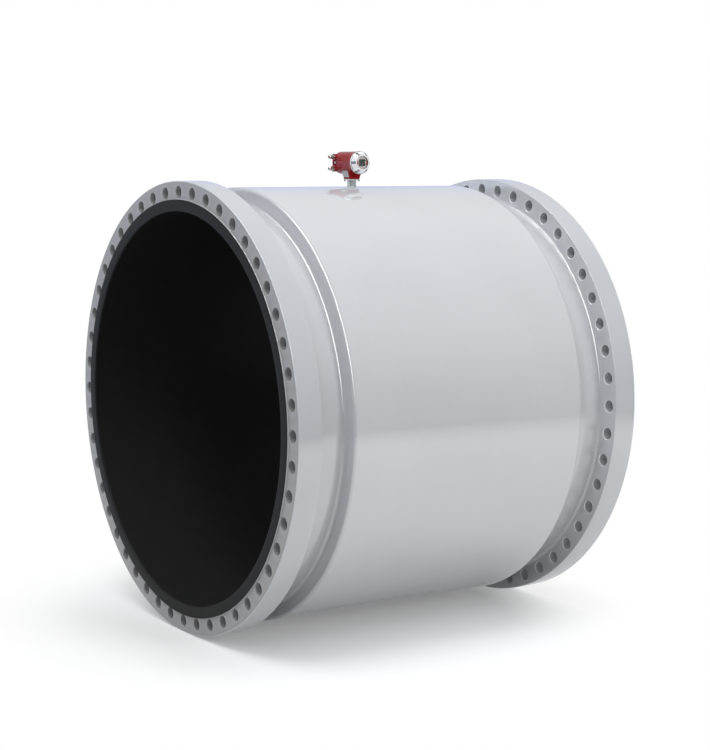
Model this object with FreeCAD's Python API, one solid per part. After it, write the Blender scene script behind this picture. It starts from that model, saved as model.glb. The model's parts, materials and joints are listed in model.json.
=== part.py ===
import FreeCAD, Part
import math
import os

# Electromagnetic flow meter for a 2000 mm water main, flanged, with its signal converter on a short stem.
# Millimetres. The origin is the centre of the bore at mid-length, +X runs with the flow,
# +Z points up to the converter, and the converter's display faces -Y.

# ---- measuring section: sizes outward from the bore -------------------------------------------
BORE = 2034.0                     # inside the liner
LINER_THICKNESS = 18.0            # on the tube
LINER_FACE_THICKNESS = 3.0        # where it is flared over the raised faces
LINER_LIP_RADIUS = 9.0            # rounding where the flow enters
TUBE_WALL = 20.0
RAISED_FACE_WIDTH = 23.5          # raised face outside the tube
RAISED_FACE_HEIGHT = 6.0
BOLT_SEAT_MARGIN = 5.5            # raised face to the edge of a bolt hole
BOLT_HOLE = 62.0                  # clearance for M56
BOLT_HOLE_CHAMFER = 2.5
BOLT_COUNT = 48
BOLT_EDGE_DISTANCE = 57.5         # hole centre to the flange's rim
FLANGE_THICKNESS = 130.0
FLANGE_EDGE_RADIUS = 4.0
FACE_TO_FACE = 2058.0             # between the bolting planes of the two flanges
WELD_LEG = 18.0                   # fillet welds between the tube and what stands on it

# ---- coil housing round the measuring tube ----------------------------------------------------
HOUSING_LENGTH = 1400.0
HOUSING_WALL = 10.0
END_PLATE_THICKNESS = 16.0
HOUSING_CORNER_RADIUS = 14.0
LEAD_SPACE = 24.0                 # free ring between the return yoke and the housing wall

# ---- magnet system ----------------------------------------------------------------------------
POLE_SHOE_THICKNESS = 6.0
POLE_SHOE_HALF_ANGLE = 38.0
POLE_SHOE_LENGTH = 600.0
POLE_CORE_HALF_ANGLE = 12.0
POLE_CORE_LENGTH = 340.0
COIL_THICKNESS = 30.0
COIL_WINDOW_MARGIN = 30.0         # along the tube, from the core to the winding
COIL_WINDOW_MARGIN_ANGLE = 3.0
COIL_SIDE_WIDTH = 200.0           # winding across the tube's ends of the coil
COIL_SIDE_ANGLE = 34.0            # winding beside the core
COIL_HEADROOM = 4.0               # winding to return yoke
YOKE_THICKNESS = 8.0
YOKE_LENGTH = 440.0
YOKE_JOINT_ANGLE = 1.0            # each half stops this far from the vertical
CLAMP_SHEET = 3.0
CLAMP_WIDTH = 40.0
CLAMP_FOOT = 36.0
CLAMP_REACH = 30.0                # tab over the winding
CLAMP_ANGLE = 30.0
CLAMP_SCREW = 8.0

# ---- measuring electrodes ---------------------------------------------------------------------
ELECTRODE_HEAD = 36.0
ELECTRODE_HEAD_DEPTH = 3.0
ELECTRODE_SHANK = 14.0
ELECTRODE_BUSH = 30.0
ELECTRODE_BUSH_FLANGE = 44.0
ELECTRODE_BUSH_FLANGE_THICKNESS = 5.0
ELECTRODE_WASHER = 40.0
ELECTRODE_WASHER_THICKNESS = 3.0
DISC_SPRING = 32.0
DISC_SPRING_SHEET = 1.5
DISC_SPRING_RISE = 1.6
ELECTRODE_NUT_FLATS = 24.0
ELECTRODE_NUT_HEIGHT = 9.0
ELECTRODE_TAG_THICKNESS = 1.5
ELECTRODE_TAG_MARGIN = 4.0        # round the electrode
ELECTRODE_TIP = 3.0
YOKE_ACCESS_HOLE = 90.0
LEAD_DIAMETER = 6.0
LEAD_BEND = 10.0
LEAD_SPACING = 13.0               # between the leads where they rise in the stem
LEAD_HOLE = 16.0                  # in the yoke, room for the lead to bend over

# ---- stem between housing and converter -------------------------------------------------------
STEM_OFFSET = 22.5                # from mid-length, with the flow
STEM_DIAMETER = 48.4
STEM_WALL = 4.0
STEM_WELD_LEG = 2.5
STEM_HEIGHT = 33.0                # above the coil housing
STEM_ROOT = 14.0                  # below the top of the coil housing
STEM_PLATE_SIDE = 65.0
STEM_PLATE_THICKNESS = 6.0
STEM_PLATE_CORNER = 3.0
STEM_GASKET_THICKNESS = 1.0
STEM_GASKET_INSET = 1.0
STEM_BOLT = 6.0
STEM_BOLT_INSET = 5.5             # bolt centre to the plate's edges
STEM_BOLT_HEAD = 9.6
STEM_BOLT_HEAD_HEIGHT = 4.5
STEM_BOLT_DEPTH = 12.0            # in the converter housing

# ---- converter housing ------------------------------------------------------------------------
BARREL_DIAMETER = 120.0
BARREL_FRONT = 77.0               # stem axis to the front lip
BARREL_REAR = 97.0                # stem axis to the rear face
BARREL_REAR_CHAMFER = 2.5
FRONT_LIP_GROWTH = 2.5            # front lip over the barrel, on the radius
FRONT_LIP_WIDTH = 4.0
FRONT_LIP_FLARE = 12.0
NECK_HEIGHT = 27.0                # below the barrel
NECK_BOTTOM_INSET = 0.5           # inside the stem plate's edges
NECK_DEPTH = 62.0                 # along the barrel
NECK_FLARE = 12.0                 # each side gains this towards the top
NECK_FLARE_DEPTH = 7.0            # the same for front and back
NECK_SHOULDER = 44.5              # height of the flared sides
NECK_CORNER = 6.0
NECK_PASSAGE = 32.0
FRONT_CHAMBER_WALL = 8.5
FRONT_THREAD_WALL = 6.5           # from the lip's outside to the thread
PARTITION_FRONT = 30.0            # stem axis to the partition
PARTITION_THICKNESS = 6.0
REAR_CHAMBER_WALL = 8.5
REAR_THREAD = 88.0
THREAD_PLAY = 0.05                # on the radius, covers in their threads

# ---- cable entries on the -X side -------------------------------------------------------------
GLAND_FROM_REAR = 20.0
GLAND_HALF_SPACING = 31.0
GLAND_BOSS_DIAMETER = 34.0
GLAND_BOSS_PROUD = 3.0            # boss face beyond the barrel's side
FAIRING_LENGTH = 66.0             # bosses fade into the barrel over this length
FAIRING_TIP = 9.0                 # radius, where it has sunk into the barrel
FAIRING_TIP_ANGLE = 20.5          # tips above and below the barrel's side
FAIRING_START = 8.0               # ahead of the entries' axis
FAIRING_INSET = 0.6               # smaller than the boss it starts from
PAD_INSET = 0.3                   # pad behind the bosses, lower than they are
POCKET_DEPTH = 9.0                # recess between the bosses, behind their faces
POCKET_FRONT = 29.0               # from the entries' axis
POCKET_REAR = 10.0
POCKET_RADIUS = 4.0
GLAND_THREAD = 20.0
GLAND_THREAD_LENGTH = 11.0
GLAND_BORE = 13.0
GLAND_FLATS = 24.0
GLAND_HEX_LENGTH = 7.0
GLAND_GAP = 2.5
GLAND_SPIGOT = 18.0
GLAND_SPIGOT_LENGTH = 13.0
GLAND_NUT_HEX = 10.0
GLAND_DOME_LENGTH = 15.0
GLAND_DOME_RADIUS = 7.0
GLAND_NUT_WALL = 2.6
GLAND_SEAL_BORE = 8.0
GLAND_SEAL_DEPTH = 8.0            # inside the gland body
GLAND_PLUG_HEAD = 1.6
EARTH_SCREW = 5.0
EARTH_SCREW_HEAD = 9.0
EARTH_SCREW_HEAD_HEIGHT = 4.0
EARTH_SCREW_DEPTH = 9.0           # in the housing
EARTH_SCREW_SLOT = 1.2
EARTH_SCREW_SLOT_DEPTH = 1.5
EARTH_CLAMP_SIDE = 11.0
EARTH_CLAMP_THICKNESS = 2.0

# ---- covers -----------------------------------------------------------------------------------
COVER_DEPTH = 31.0
COVER_INSET = 1.2                 # inside the lip it meets
COVER_BAND = 7.0                  # straight part of the grip
COVER_BAND_STEP = 2.5
COVER_FACE_DIAMETER = 93.0
COVER_FACE_CHAMFER = 1.4
COVER_SKIRT_LENGTH = 14.0
COVER_SKIRT_WALL = 5.5
WINDOW_DIAMETER = 71.0
WINDOW_LIP = 2.0
WINDOW_SEAT = 6.5                 # glass edge beyond the window opening
WINDOW_GASKET = 0.8
GLASS_THICKNESS = 3.0
GLASS_RING_THICKNESS = 4.0
GLASS_RING_WALL = 7.0
GRIP_COUNT = 6
GRIP_WIDTH = 14.0
GRIP_DEPTH = 3.3
GRIP_START = 1.5                  # along the cover from where its slope begins
SEAL_SECTION = 3.0
SEAL_PLAY = 0.3
REAR_COVER_DIAMETER = 100.0
REAR_COVER_DEPTH = 15.7
REAR_COVER_CHAMFER = 4.0
REAR_COVER_END = 5.0
REAR_SKIRT_LENGTH = 9.0
REAR_SKIRT_WALL = 6.0
REAR_SEAL_SECTION = 2.4

# ---- inside the converter ---------------------------------------------------------------------
DISPLAY_DIAMETER = 69.0
DISPLAY_BAND = 48.0               # between the coloured fields
DISPLAY_FIELD_HEIGHT = 26.0
DISPLAY_THICKNESS = 4.0
DISPLAY_GAP = 0.5                 # behind the glass
SCREEN_WIDTH = 40.0
SCREEN_HEIGHT = 38.0
SCREEN_RECESS = 0.6
BOARD_THICKNESS = 1.6
BOARD_HALF_HEIGHT = 26.0
FRAME_RING_WIDTH = 8.0
FRAME_RING_DEPTH = 10.0
FRAME_RAIL_WIDTH = 6.0
FRAME_RAIL_HEIGHT = 14.0
FRAME_PLAY = 3.0                  # frame ring inside the front chamber
POWER_BOARD_FROM_STEM = -16.0
SIGNAL_BOARD_FROM_STEM = 45.0
TERMINAL_BLOCK_LENGTH = 60.0
TERMINAL_BLOCK_HEIGHT = 20.0
TERMINAL_BLOCK_DEPTH = 22.0
TERMINAL_COUNT = 6
TERMINAL_SCREW = 5.0
TERMINAL_SCREW_PROUD = 1.0
FEEDTHROUGH_DIAMETER = 16.0
FEEDTHROUGH_PROUD = 6.0

# ---- name plate on the neck -------------------------------------------------------------------
PLATE_WIDTH = 54.0
PLATE_HEIGHT = 36.0
PLATE_THICKNESS = 0.8
PLATE_CORNER = 2.0
PLATE_MIDDLE = 0.61               # its height on the neck's side, as a share of that side
RIVET_DIAMETER = 2.4
RIVET_HEAD = 3.6
RIVET_HEAD_HEIGHT = 0.9
RIVET_DEPTH = 4.0
RIVET_INSET = 3.5

# ---- shared clearances ------------------------------------------------------------------------
SEAT = 0.1                        # between pieces that lie on each other
FIT = 0.3                         # round pieces nested in each other
THREAD_RUNOUT = 1.0               # threaded holes beyond what is screwed in
EDGE_RADIUS = 0.6                 # broken edges of small turned pieces
HEAD_RADIUS = 1.0                 # edges of heads, plugs and sealing faces
CAST_RADIUS = 4.0                 # inside corners of castings
NUT_FLATS_RATIO = 1.6             # across flats, of the thread
NUT_HEIGHT_RATIO = 0.8            # of the thread
SOCKET_RATIO = 0.83               # across the socket's flats, of the thread

# ---- sizes that follow ------------------------------------------------------------------------
BORE_R = BORE / 2
TUBE_IN_R = BORE_R + LINER_THICKNESS
TUBE_R = TUBE_IN_R + TUBE_WALL
RAISED_R = TUBE_R + RAISED_FACE_WIDTH
BOLT_CIRCLE_R = RAISED_R + BOLT_SEAT_MARGIN + BOLT_HOLE / 2
RIM_R = BOLT_CIRCLE_R + BOLT_EDGE_DISTANCE
BOLT_PLANE_X = FACE_TO_FACE / 2
RAISED_X = BOLT_PLANE_X + RAISED_FACE_HEIGHT
SEAL_FACE_X = RAISED_X + LINER_FACE_THICKNESS
FLANGE_BACK_X = BOLT_PLANE_X - FLANGE_THICKNESS

SHOE_IN_R = TUBE_R + FIT
SHOE_OUT_R = SHOE_IN_R + POLE_SHOE_THICKNESS
COIL_IN_R = SHOE_OUT_R + FIT
COIL_OUT_R = COIL_IN_R + COIL_THICKNESS
YOKE_IN_R = COIL_OUT_R + COIL_HEADROOM
YOKE_OUT_R = YOKE_IN_R + YOKE_THICKNESS
SHELL_IN_R = YOKE_OUT_R + LEAD_SPACE
SHELL_R = SHELL_IN_R + HOUSING_WALL
SHELL_END_X = HOUSING_LENGTH / 2
COIL_WINDOW_X = POLE_CORE_LENGTH / 2 + COIL_WINDOW_MARGIN
COIL_END_X = COIL_WINDOW_X + COIL_SIDE_WIDTH
COIL_WINDOW_ANGLE = POLE_CORE_HALF_ANGLE + COIL_WINDOW_MARGIN_ANGLE
COIL_HALF_ANGLE = COIL_WINDOW_ANGLE + COIL_SIDE_ANGLE
COIL_LEAD_ANGLE = COIL_WINDOW_ANGLE + COIL_SIDE_ANGLE / 2

STEM_TOP_Z = SHELL_R + STEM_HEIGHT
PLATE_TOP_Z = STEM_TOP_Z + STEM_PLATE_THICKNESS
NECK_Z = PLATE_TOP_Z + STEM_GASKET_THICKNESS
BARREL_R = BARREL_DIAMETER / 2
AXIS_Z = NECK_Z + NECK_HEIGHT + BARREL_R
STEM_BOLT_PITCH = STEM_PLATE_SIDE / 2 - STEM_BOLT_INSET
NECK_HALF_WIDTH = STEM_PLATE_SIDE / 2 - NECK_BOTTOM_INSET

LIP_R = BARREL_R + FRONT_LIP_GROWTH
FRONT_THREAD_R = LIP_R - FRONT_THREAD_WALL
FRONT_SEAL_R = (FRONT_THREAD_R + LIP_R - COVER_INSET) / 2
FRONT_CHAMBER_R = BARREL_R - FRONT_CHAMBER_WALL
REAR_CHAMBER_R = BARREL_R - REAR_CHAMBER_WALL
REAR_THREAD_R = REAR_THREAD / 2
PARTITION_REAR = PARTITION_FRONT + PARTITION_THICKNESS
BOSS_FACE_X = -(BARREL_R + GLAND_BOSS_PROUD)
POCKET_FLOOR_X = BOSS_FACE_X + POCKET_DEPTH
GLAND_Y = BARREL_REAR - GLAND_FROM_REAR
COVER_REAR_Y = -(BARREL_FRONT + SEAL_PLAY)
COVER_FACE_Y = -(BARREL_FRONT + COVER_DEPTH)
COVER_FACE_R = COVER_FACE_DIAMETER / 2
GLASS_R = WINDOW_DIAMETER / 2 + WINDOW_SEAT
GASKET_Y = COVER_FACE_Y + WINDOW_LIP
GLASS_Y = GASKET_Y + WINDOW_GASKET + SEAT
GLASS_RING_Y = GLASS_Y + GLASS_THICKNESS + SEAT
GLASS_RING_END_Y = GLASS_RING_Y + GLASS_RING_THICKNESS
DISPLAY_Y = GLASS_Y + GLASS_THICKNESS + DISPLAY_GAP
DISPLAY_BACK_Y = DISPLAY_Y + DISPLAY_THICKNESS
FRAME_R = FRONT_CHAMBER_R - FRAME_PLAY
RAIL_X = DISPLAY_BAND / 2 + SEAT

X_AXIS = FreeCAD.Vector(1, 0, 0)
Y_AXIS = FreeCAD.Vector(0, 1, 0)
Z_AXIS = FreeCAD.Vector(0, 0, 1)
ORIGIN = FreeCAD.Vector(0, 0, 0)
BARREL_CENTRE = FreeCAD.Vector(STEM_OFFSET, 0, AXIS_Z)


# ---- shared building functions ----------------------------------------------------------------
def corner_points(before, corner, after, radius):
    """Start, middle and end of the arc that rounds one corner of a flat outline."""
    to_before = (before - corner).normalize()
    to_after = (after - corner).normalize()
    half = to_before.getAngle(to_after) / 2
    inward = (to_before + to_after).normalize()
    run = radius / math.tan(half)
    middle = corner + inward * (radius / math.sin(half) - radius)
    return corner + to_before * run, middle, corner + to_after * run


def outline(corners, place):
    """Closed wire through (a, b) or (a, b, rounding) corners; place turns a and b into a point."""
    points = [place(c[0], c[1]) for c in corners]
    radii = [c[2] if len(c) > 2 else 0 for c in corners]
    edges = []
    starts = []
    ends = []
    for i, point in enumerate(points):
        if radii[i]:
            start, middle, end = corner_points(points[i - 1], point, points[(i + 1) % len(points)], radii[i])
            edges.append(Part.Arc(start, middle, end).toShape())
        else:
            start = point
            end = point
        starts.append(start)
        ends.append(end)
    for i, end in enumerate(ends):
        following = starts[(i + 1) % len(points)]
        if end.distanceToPoint(following) > 1e-6:
            edges.append(Part.makeLine(end, following))
    return Part.Wire(Part.sortEdges(edges)[0])


def solid(shape):
    """The shape as one solid with its faces outward."""
    result = Part.makeSolid(shape.Shells[0]) if shape.ShapeType != "Solid" else shape
    if result.Volume < 0:
        result.reverse()
    return result


def turned_x(corners, degrees=360):
    """Solid turned about the X axis from (x, radius) corners."""
    face = Part.Face(outline(corners, lambda x, r: FreeCAD.Vector(x, 0, r)))
    return solid(face.revolve(ORIGIN, X_AXIS, degrees))


def turned_y(corners, centre=BARREL_CENTRE):
    """Solid turned about the barrel's axis from (y, radius) corners."""
    face = Part.Face(outline(corners, lambda y, r: FreeCAD.Vector(0, y, r)))
    body = solid(face.revolve(ORIGIN, Y_AXIS, 360))
    body.translate(centre)
    return body


def turned_z(corners):
    """Solid turned about the Z axis from (z, radius) corners."""
    face = Part.Face(outline(corners, lambda z, r: FreeCAD.Vector(r, 0, z)))
    return solid(face.revolve(ORIGIN, Z_AXIS, 360))


def block(low, high):
    """Box between two opposite corners."""
    size = high - low
    return Part.makeBox(size.x, size.y, size.z, low)


def hexagon(flats, start, length, axis=Z_AXIS):
    """Hexagonal bar along an axis, with its flats' distance given."""
    reach = flats / math.sqrt(3)
    corners = [
        (reach * math.cos(math.radians(60 * i)), reach * math.sin(math.radians(60 * i))) for i in range(6)
    ]
    bar = Part.Face(outline(corners, lambda a, b: FreeCAD.Vector(a, b, 0))).extrude(Z_AXIS * length)
    bar.Placement = FreeCAD.Placement(start, FreeCAD.Rotation(Z_AXIS, axis))
    return bar


def sector(in_r, out_r, half_length, half_angle):
    """Piece of a tube round the X axis, centred on the top."""
    corners = [(-half_length, in_r), (half_length, in_r), (half_length, out_r), (-half_length, out_r)]
    piece = turned_x(corners, 2 * half_angle)
    piece.rotate(ORIGIN, X_AXIS, -half_angle)
    return piece


def about_x(shape, degrees):
    """Copy turned about the flow axis; a positive angle moves the top towards -Y."""
    copy = shape.copy()
    copy.rotate(ORIGIN, X_AXIS, degrees)
    return copy


def mirrored(shape, normal, base=ORIGIN):
    """Copy on the other side of a plane."""
    return shape.mirror(base, normal)


def export(name, pieces):
    """Write one node, from one solid or a list of like solids."""
    shape = Part.makeCompound(pieces) if isinstance(pieces, list) else pieces
    shape.exportStep("parts/" + name + ".step")


# ---- pipe section -----------------------------------------------------------------------------
def flange():
    """Outlet flange: plate, raised face, bolt holes and its weld to the tube."""
    ring = turned_x([
        (RAISED_X, TUBE_R),
        (RAISED_X, RAISED_R, HEAD_RADIUS),
        (BOLT_PLANE_X, RAISED_R),
        (BOLT_PLANE_X, RIM_R, FLANGE_EDGE_RADIUS),
        (FLANGE_BACK_X, RIM_R, FLANGE_EDGE_RADIUS),
        (FLANGE_BACK_X, TUBE_R + WELD_LEG),
        (FLANGE_BACK_X - WELD_LEG, TUBE_R),
    ])
    hole = turned_x([
        (FLANGE_BACK_X - WELD_LEG, 0),
        (FLANGE_BACK_X - WELD_LEG, BOLT_HOLE / 2),
        (BOLT_PLANE_X - BOLT_HOLE_CHAMFER, BOLT_HOLE / 2),
        (BOLT_PLANE_X, BOLT_HOLE / 2 + BOLT_HOLE_CHAMFER),
        (RAISED_X, BOLT_HOLE / 2 + BOLT_HOLE_CHAMFER),
        (RAISED_X, 0),
    ])
    hole.translate(FreeCAD.Vector(0, 0, BOLT_CIRCLE_R))
    return ring.cut([about_x(hole, 360 / BOLT_COUNT * i) for i in range(BOLT_COUNT)]).Solids[0]


def electrode_holes(radius, in_r, out_r):
    """Cutters for the two electrode holes, at the sides of the tube."""
    hole = Part.makeCylinder(radius, out_r - in_r, FreeCAD.Vector(0, 0, in_r))
    return [about_x(hole, 90), about_x(hole, -90)]


def measuring_tube():
    tube = turned_x([
        (-RAISED_X, TUBE_IN_R),
        (RAISED_X, TUBE_IN_R),
        (RAISED_X, TUBE_R),
        (-RAISED_X, TUBE_R),
    ])
    return tube.cut(electrode_holes(ELECTRODE_BUSH / 2 + SEAT, BORE_R, SHOE_OUT_R)).Solids[0]


def liner():
    """Hard rubber liner, moulded in the tube and over both raised faces."""
    lining = turned_x([
        (-SEAL_FACE_X, BORE_R, LINER_LIP_RADIUS),
        (SEAL_FACE_X, BORE_R, LINER_LIP_RADIUS),
        (SEAL_FACE_X, RAISED_R - SEAT, HEAD_RADIUS),
        (RAISED_X, RAISED_R - SEAT),
        (RAISED_X, TUBE_IN_R),
        (-RAISED_X, TUBE_IN_R),
        (-RAISED_X, RAISED_R - SEAT),
        (-SEAL_FACE_X, RAISED_R - SEAT, HEAD_RADIUS),
    ])
    inside_r = BORE_R - LINER_THICKNESS
    recess = electrode_holes(ELECTRODE_HEAD / 2 + SEAT, inside_r, BORE_R + ELECTRODE_HEAD_DEPTH)
    shank = electrode_holes(ELECTRODE_SHANK / 2 + SEAT, inside_r, TUBE_R)
    return lining.cut(recess + shank).Solids[0]


def end_plate():
    """Outlet end plate of the coil housing, with its weld to the tube and a rounded corner."""
    inner_x = SHELL_END_X - END_PLATE_THICKNESS
    return turned_x([
        (inner_x, TUBE_R),
        (inner_x, SHELL_R),
        (SHELL_END_X, SHELL_R, HOUSING_CORNER_RADIUS),
        (SHELL_END_X, TUBE_R + WELD_LEG),
        (SHELL_END_X + WELD_LEG, TUBE_R),
    ])


def housing_shell():
    half = SHELL_END_X - END_PLATE_THICKNESS
    shell = turned_x([(-half, SHELL_IN_R), (half, SHELL_IN_R), (half, SHELL_R), (-half, SHELL_R)])
    return shell.cut(stem_cutter()).Solids[0]


def stem_cutter():
    """Hole for the stem through the top of the coil housing."""
    start = FreeCAD.Vector(STEM_OFFSET, 0, YOKE_OUT_R)
    return Part.makeCylinder(STEM_DIAMETER / 2 + SEAT, STEM_TOP_Z - YOKE_OUT_R, start)


# ---- magnet system ----------------------------------------------------------------------------
def field_coil():
    """Upper saddle coil: one flat winding bent round the tube, open in the middle for the pole core."""
    winding = sector(COIL_IN_R, COIL_OUT_R, COIL_END_X, COIL_HALF_ANGLE)
    window = sector(SHOE_OUT_R, YOKE_IN_R, COIL_WINDOW_X, COIL_WINDOW_ANGLE)
    return winding.cut(window).Solids[0]


def pole_piece():
    """Upper pole: a thin shoe that spreads the field and the core that joins it to the yoke."""
    shoe = sector(SHOE_IN_R, SHOE_OUT_R, POLE_SHOE_LENGTH / 2, POLE_SHOE_HALF_ANGLE)
    core = sector(SHOE_IN_R, YOKE_IN_R - SEAT, POLE_CORE_LENGTH / 2, POLE_CORE_HALF_ANGLE)
    return shoe.fuse(core).removeSplitter().Solids[0]


def return_yoke():
    """Half of the return path, on the +Y side, with an access hole at the electrode."""
    half = sector(YOKE_IN_R, YOKE_OUT_R, YOKE_LENGTH / 2, 90 - YOKE_JOINT_ANGLE)
    half.rotate(ORIGIN, X_AXIS, -90)
    access = electrode_holes(YOKE_ACCESS_HOLE / 2, COIL_IN_R, SHELL_IN_R)
    lead_hole = Part.makeCylinder(
        LEAD_HOLE / 2, SHELL_IN_R - COIL_OUT_R, FreeCAD.Vector(coil_lead_x(), 0, COIL_OUT_R)
    )
    lead_holes = [about_x(lead_hole, -COIL_LEAD_ANGLE), about_x(lead_hole, COIL_LEAD_ANGLE - 180)]
    return half.cut(access + lead_holes).Solids[0]


def coil_clamp():
    """Bent strap that holds the end of a winding down on the tube, at the top of the tube."""
    riser_x = COIL_END_X + SEAT
    foot_z = TUBE_R + SEAT
    tab_z = COIL_OUT_R + SEAT
    section = outline([
        (riser_x, foot_z),
        (riser_x + CLAMP_FOOT, foot_z),
        (riser_x + CLAMP_FOOT, foot_z + CLAMP_SHEET),
        (riser_x + CLAMP_SHEET, foot_z + CLAMP_SHEET),
        (riser_x + CLAMP_SHEET, tab_z + CLAMP_SHEET),
        (riser_x - CLAMP_REACH, tab_z + CLAMP_SHEET),
        (riser_x - CLAMP_REACH, tab_z),
        (riser_x, tab_z),
    ], lambda x, z: FreeCAD.Vector(x, -CLAMP_WIDTH / 2, z))
    strap = Part.Face(section).extrude(Y_AXIS * CLAMP_WIDTH)
    below = clamp_screw_seat() - Z_AXIS * CLAMP_SHEET
    hole = Part.makeCylinder(CLAMP_SCREW / 2 + SEAT, CLAMP_SHEET * 2, below)
    return strap.cut(hole).Solids[0]


def clamp_screw_seat():
    """Centre of the clamp screw, on the tube."""
    return FreeCAD.Vector(COIL_END_X + (CLAMP_SHEET + CLAMP_FOOT) / 2, 0, TUBE_R + SEAT)


def clamp_screw():
    """Welded stud with its nut, as fitted on a coil clamp."""
    stud = Part.makeCylinder(CLAMP_SCREW / 2, CLAMP_SCREW * 2, clamp_screw_seat())
    nut_seat = clamp_screw_seat() + Z_AXIS * (CLAMP_SHEET + SEAT)
    nut = hexagon(CLAMP_SCREW * NUT_FLATS_RATIO, nut_seat, CLAMP_SCREW * NUT_HEIGHT_RATIO)
    return stud.fuse(nut).removeSplitter().Solids[0]


def at_coil_clamps(piece):
    """Copies of a piece at the eight clamps: two a side at each end of both coils."""
    copies = []
    for end in (piece, mirrored(piece, X_AXIS)):
        for angle in (CLAMP_ANGLE, -CLAMP_ANGLE, 180 - CLAMP_ANGLE, CLAMP_ANGLE - 180):
            copies.append(about_x(end, angle))
    return copies


# ---- electrodes -------------------------------------------------------------------------------
def both_electrodes(piece):
    """Copies of a piece made at the top, turned to the two electrodes."""
    return [about_x(piece, 90), about_x(piece, -90)]


BUSH_FLANGE_Z = TUBE_R + SEAT
WASHER_Z = BUSH_FLANGE_Z + ELECTRODE_BUSH_FLANGE_THICKNESS + SEAT
SPRING_Z = WASHER_Z + ELECTRODE_WASHER_THICKNESS + SEAT
SPRING_HEIGHT = DISC_SPRING_SHEET + DISC_SPRING_RISE
NUT_Z = SPRING_Z + SPRING_HEIGHT + SEAT
TAG_Z = NUT_Z + ELECTRODE_NUT_HEIGHT + SEAT
TIP_Z = TAG_Z + ELECTRODE_TAG_THICKNESS + ELECTRODE_TIP


def electrode():
    """Pin whose flat head lies flush in the liner."""
    head_z = BORE_R + SEAT * 2
    return turned_z([
        (head_z, 0),
        (head_z, ELECTRODE_HEAD / 2, HEAD_RADIUS),
        (BORE_R + ELECTRODE_HEAD_DEPTH - SEAT, ELECTRODE_HEAD / 2),
        (BORE_R + ELECTRODE_HEAD_DEPTH - SEAT, ELECTRODE_SHANK / 2),
        (TIP_Z, ELECTRODE_SHANK / 2),
        (TIP_Z, 0),
    ])


def electrode_bush():
    """Insulating bush through the tube's wall."""
    bore_r = ELECTRODE_SHANK / 2 + SEAT
    return turned_z([
        (TUBE_IN_R + SEAT * 2, bore_r),
        (TUBE_IN_R + SEAT * 2, ELECTRODE_BUSH / 2),
        (BUSH_FLANGE_Z, ELECTRODE_BUSH / 2),
        (BUSH_FLANGE_Z, ELECTRODE_BUSH_FLANGE / 2),
        (BUSH_FLANGE_Z + ELECTRODE_BUSH_FLANGE_THICKNESS, ELECTRODE_BUSH_FLANGE / 2),
        (BUSH_FLANGE_Z + ELECTRODE_BUSH_FLANGE_THICKNESS, bore_r),
    ])


def electrode_washer():
    bore_r = ELECTRODE_SHANK / 2 + SEAT
    top = WASHER_Z + ELECTRODE_WASHER_THICKNESS
    return turned_z([
        (WASHER_Z, bore_r),
        (WASHER_Z, ELECTRODE_WASHER / 2),
        (top, ELECTRODE_WASHER / 2),
        (top, bore_r),
    ])


def disc_spring():
    """Coned spring washer that keeps the electrode tight on the liner."""
    bore_r = ELECTRODE_SHANK / 2 + SEAT
    return turned_z([
        (SPRING_Z + DISC_SPRING_RISE, bore_r),
        (SPRING_Z, DISC_SPRING / 2),
        (SPRING_Z + DISC_SPRING_SHEET, DISC_SPRING / 2),
        (SPRING_Z + SPRING_HEIGHT, bore_r),
    ])


def electrode_nut():
    nut = hexagon(ELECTRODE_NUT_FLATS, Z_AXIS * NUT_Z, ELECTRODE_NUT_HEIGHT)
    bore = Part.makeCylinder(ELECTRODE_SHANK / 2 + SEAT, ELECTRODE_NUT_HEIGHT, Z_AXIS * NUT_Z)
    return nut.cut(bore).Solids[0]


def electrode_tag():
    """Solder tag on the electrode, reaching to the plane of its lead."""
    reach = signal_lead_x() + LEAD_DIAMETER
    half = ELECTRODE_SHANK / 2 + ELECTRODE_TAG_MARGIN
    plate = block(
        FreeCAD.Vector(-half, -half, TAG_Z),
        FreeCAD.Vector(max(reach, half), half, TAG_Z + ELECTRODE_TAG_THICKNESS),
    )
    bore = Part.makeCylinder(ELECTRODE_SHANK / 2 + SEAT, ELECTRODE_TAG_THICKNESS, Z_AXIS * TAG_Z)
    return plate.cut(bore).Solids[0]


# ---- leads inside the housing -----------------------------------------------------------------
def signal_lead_x():
    return STEM_OFFSET - LEAD_SPACING / 2


def coil_lead_x():
    return STEM_OFFSET + LEAD_SPACING / 2


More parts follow.
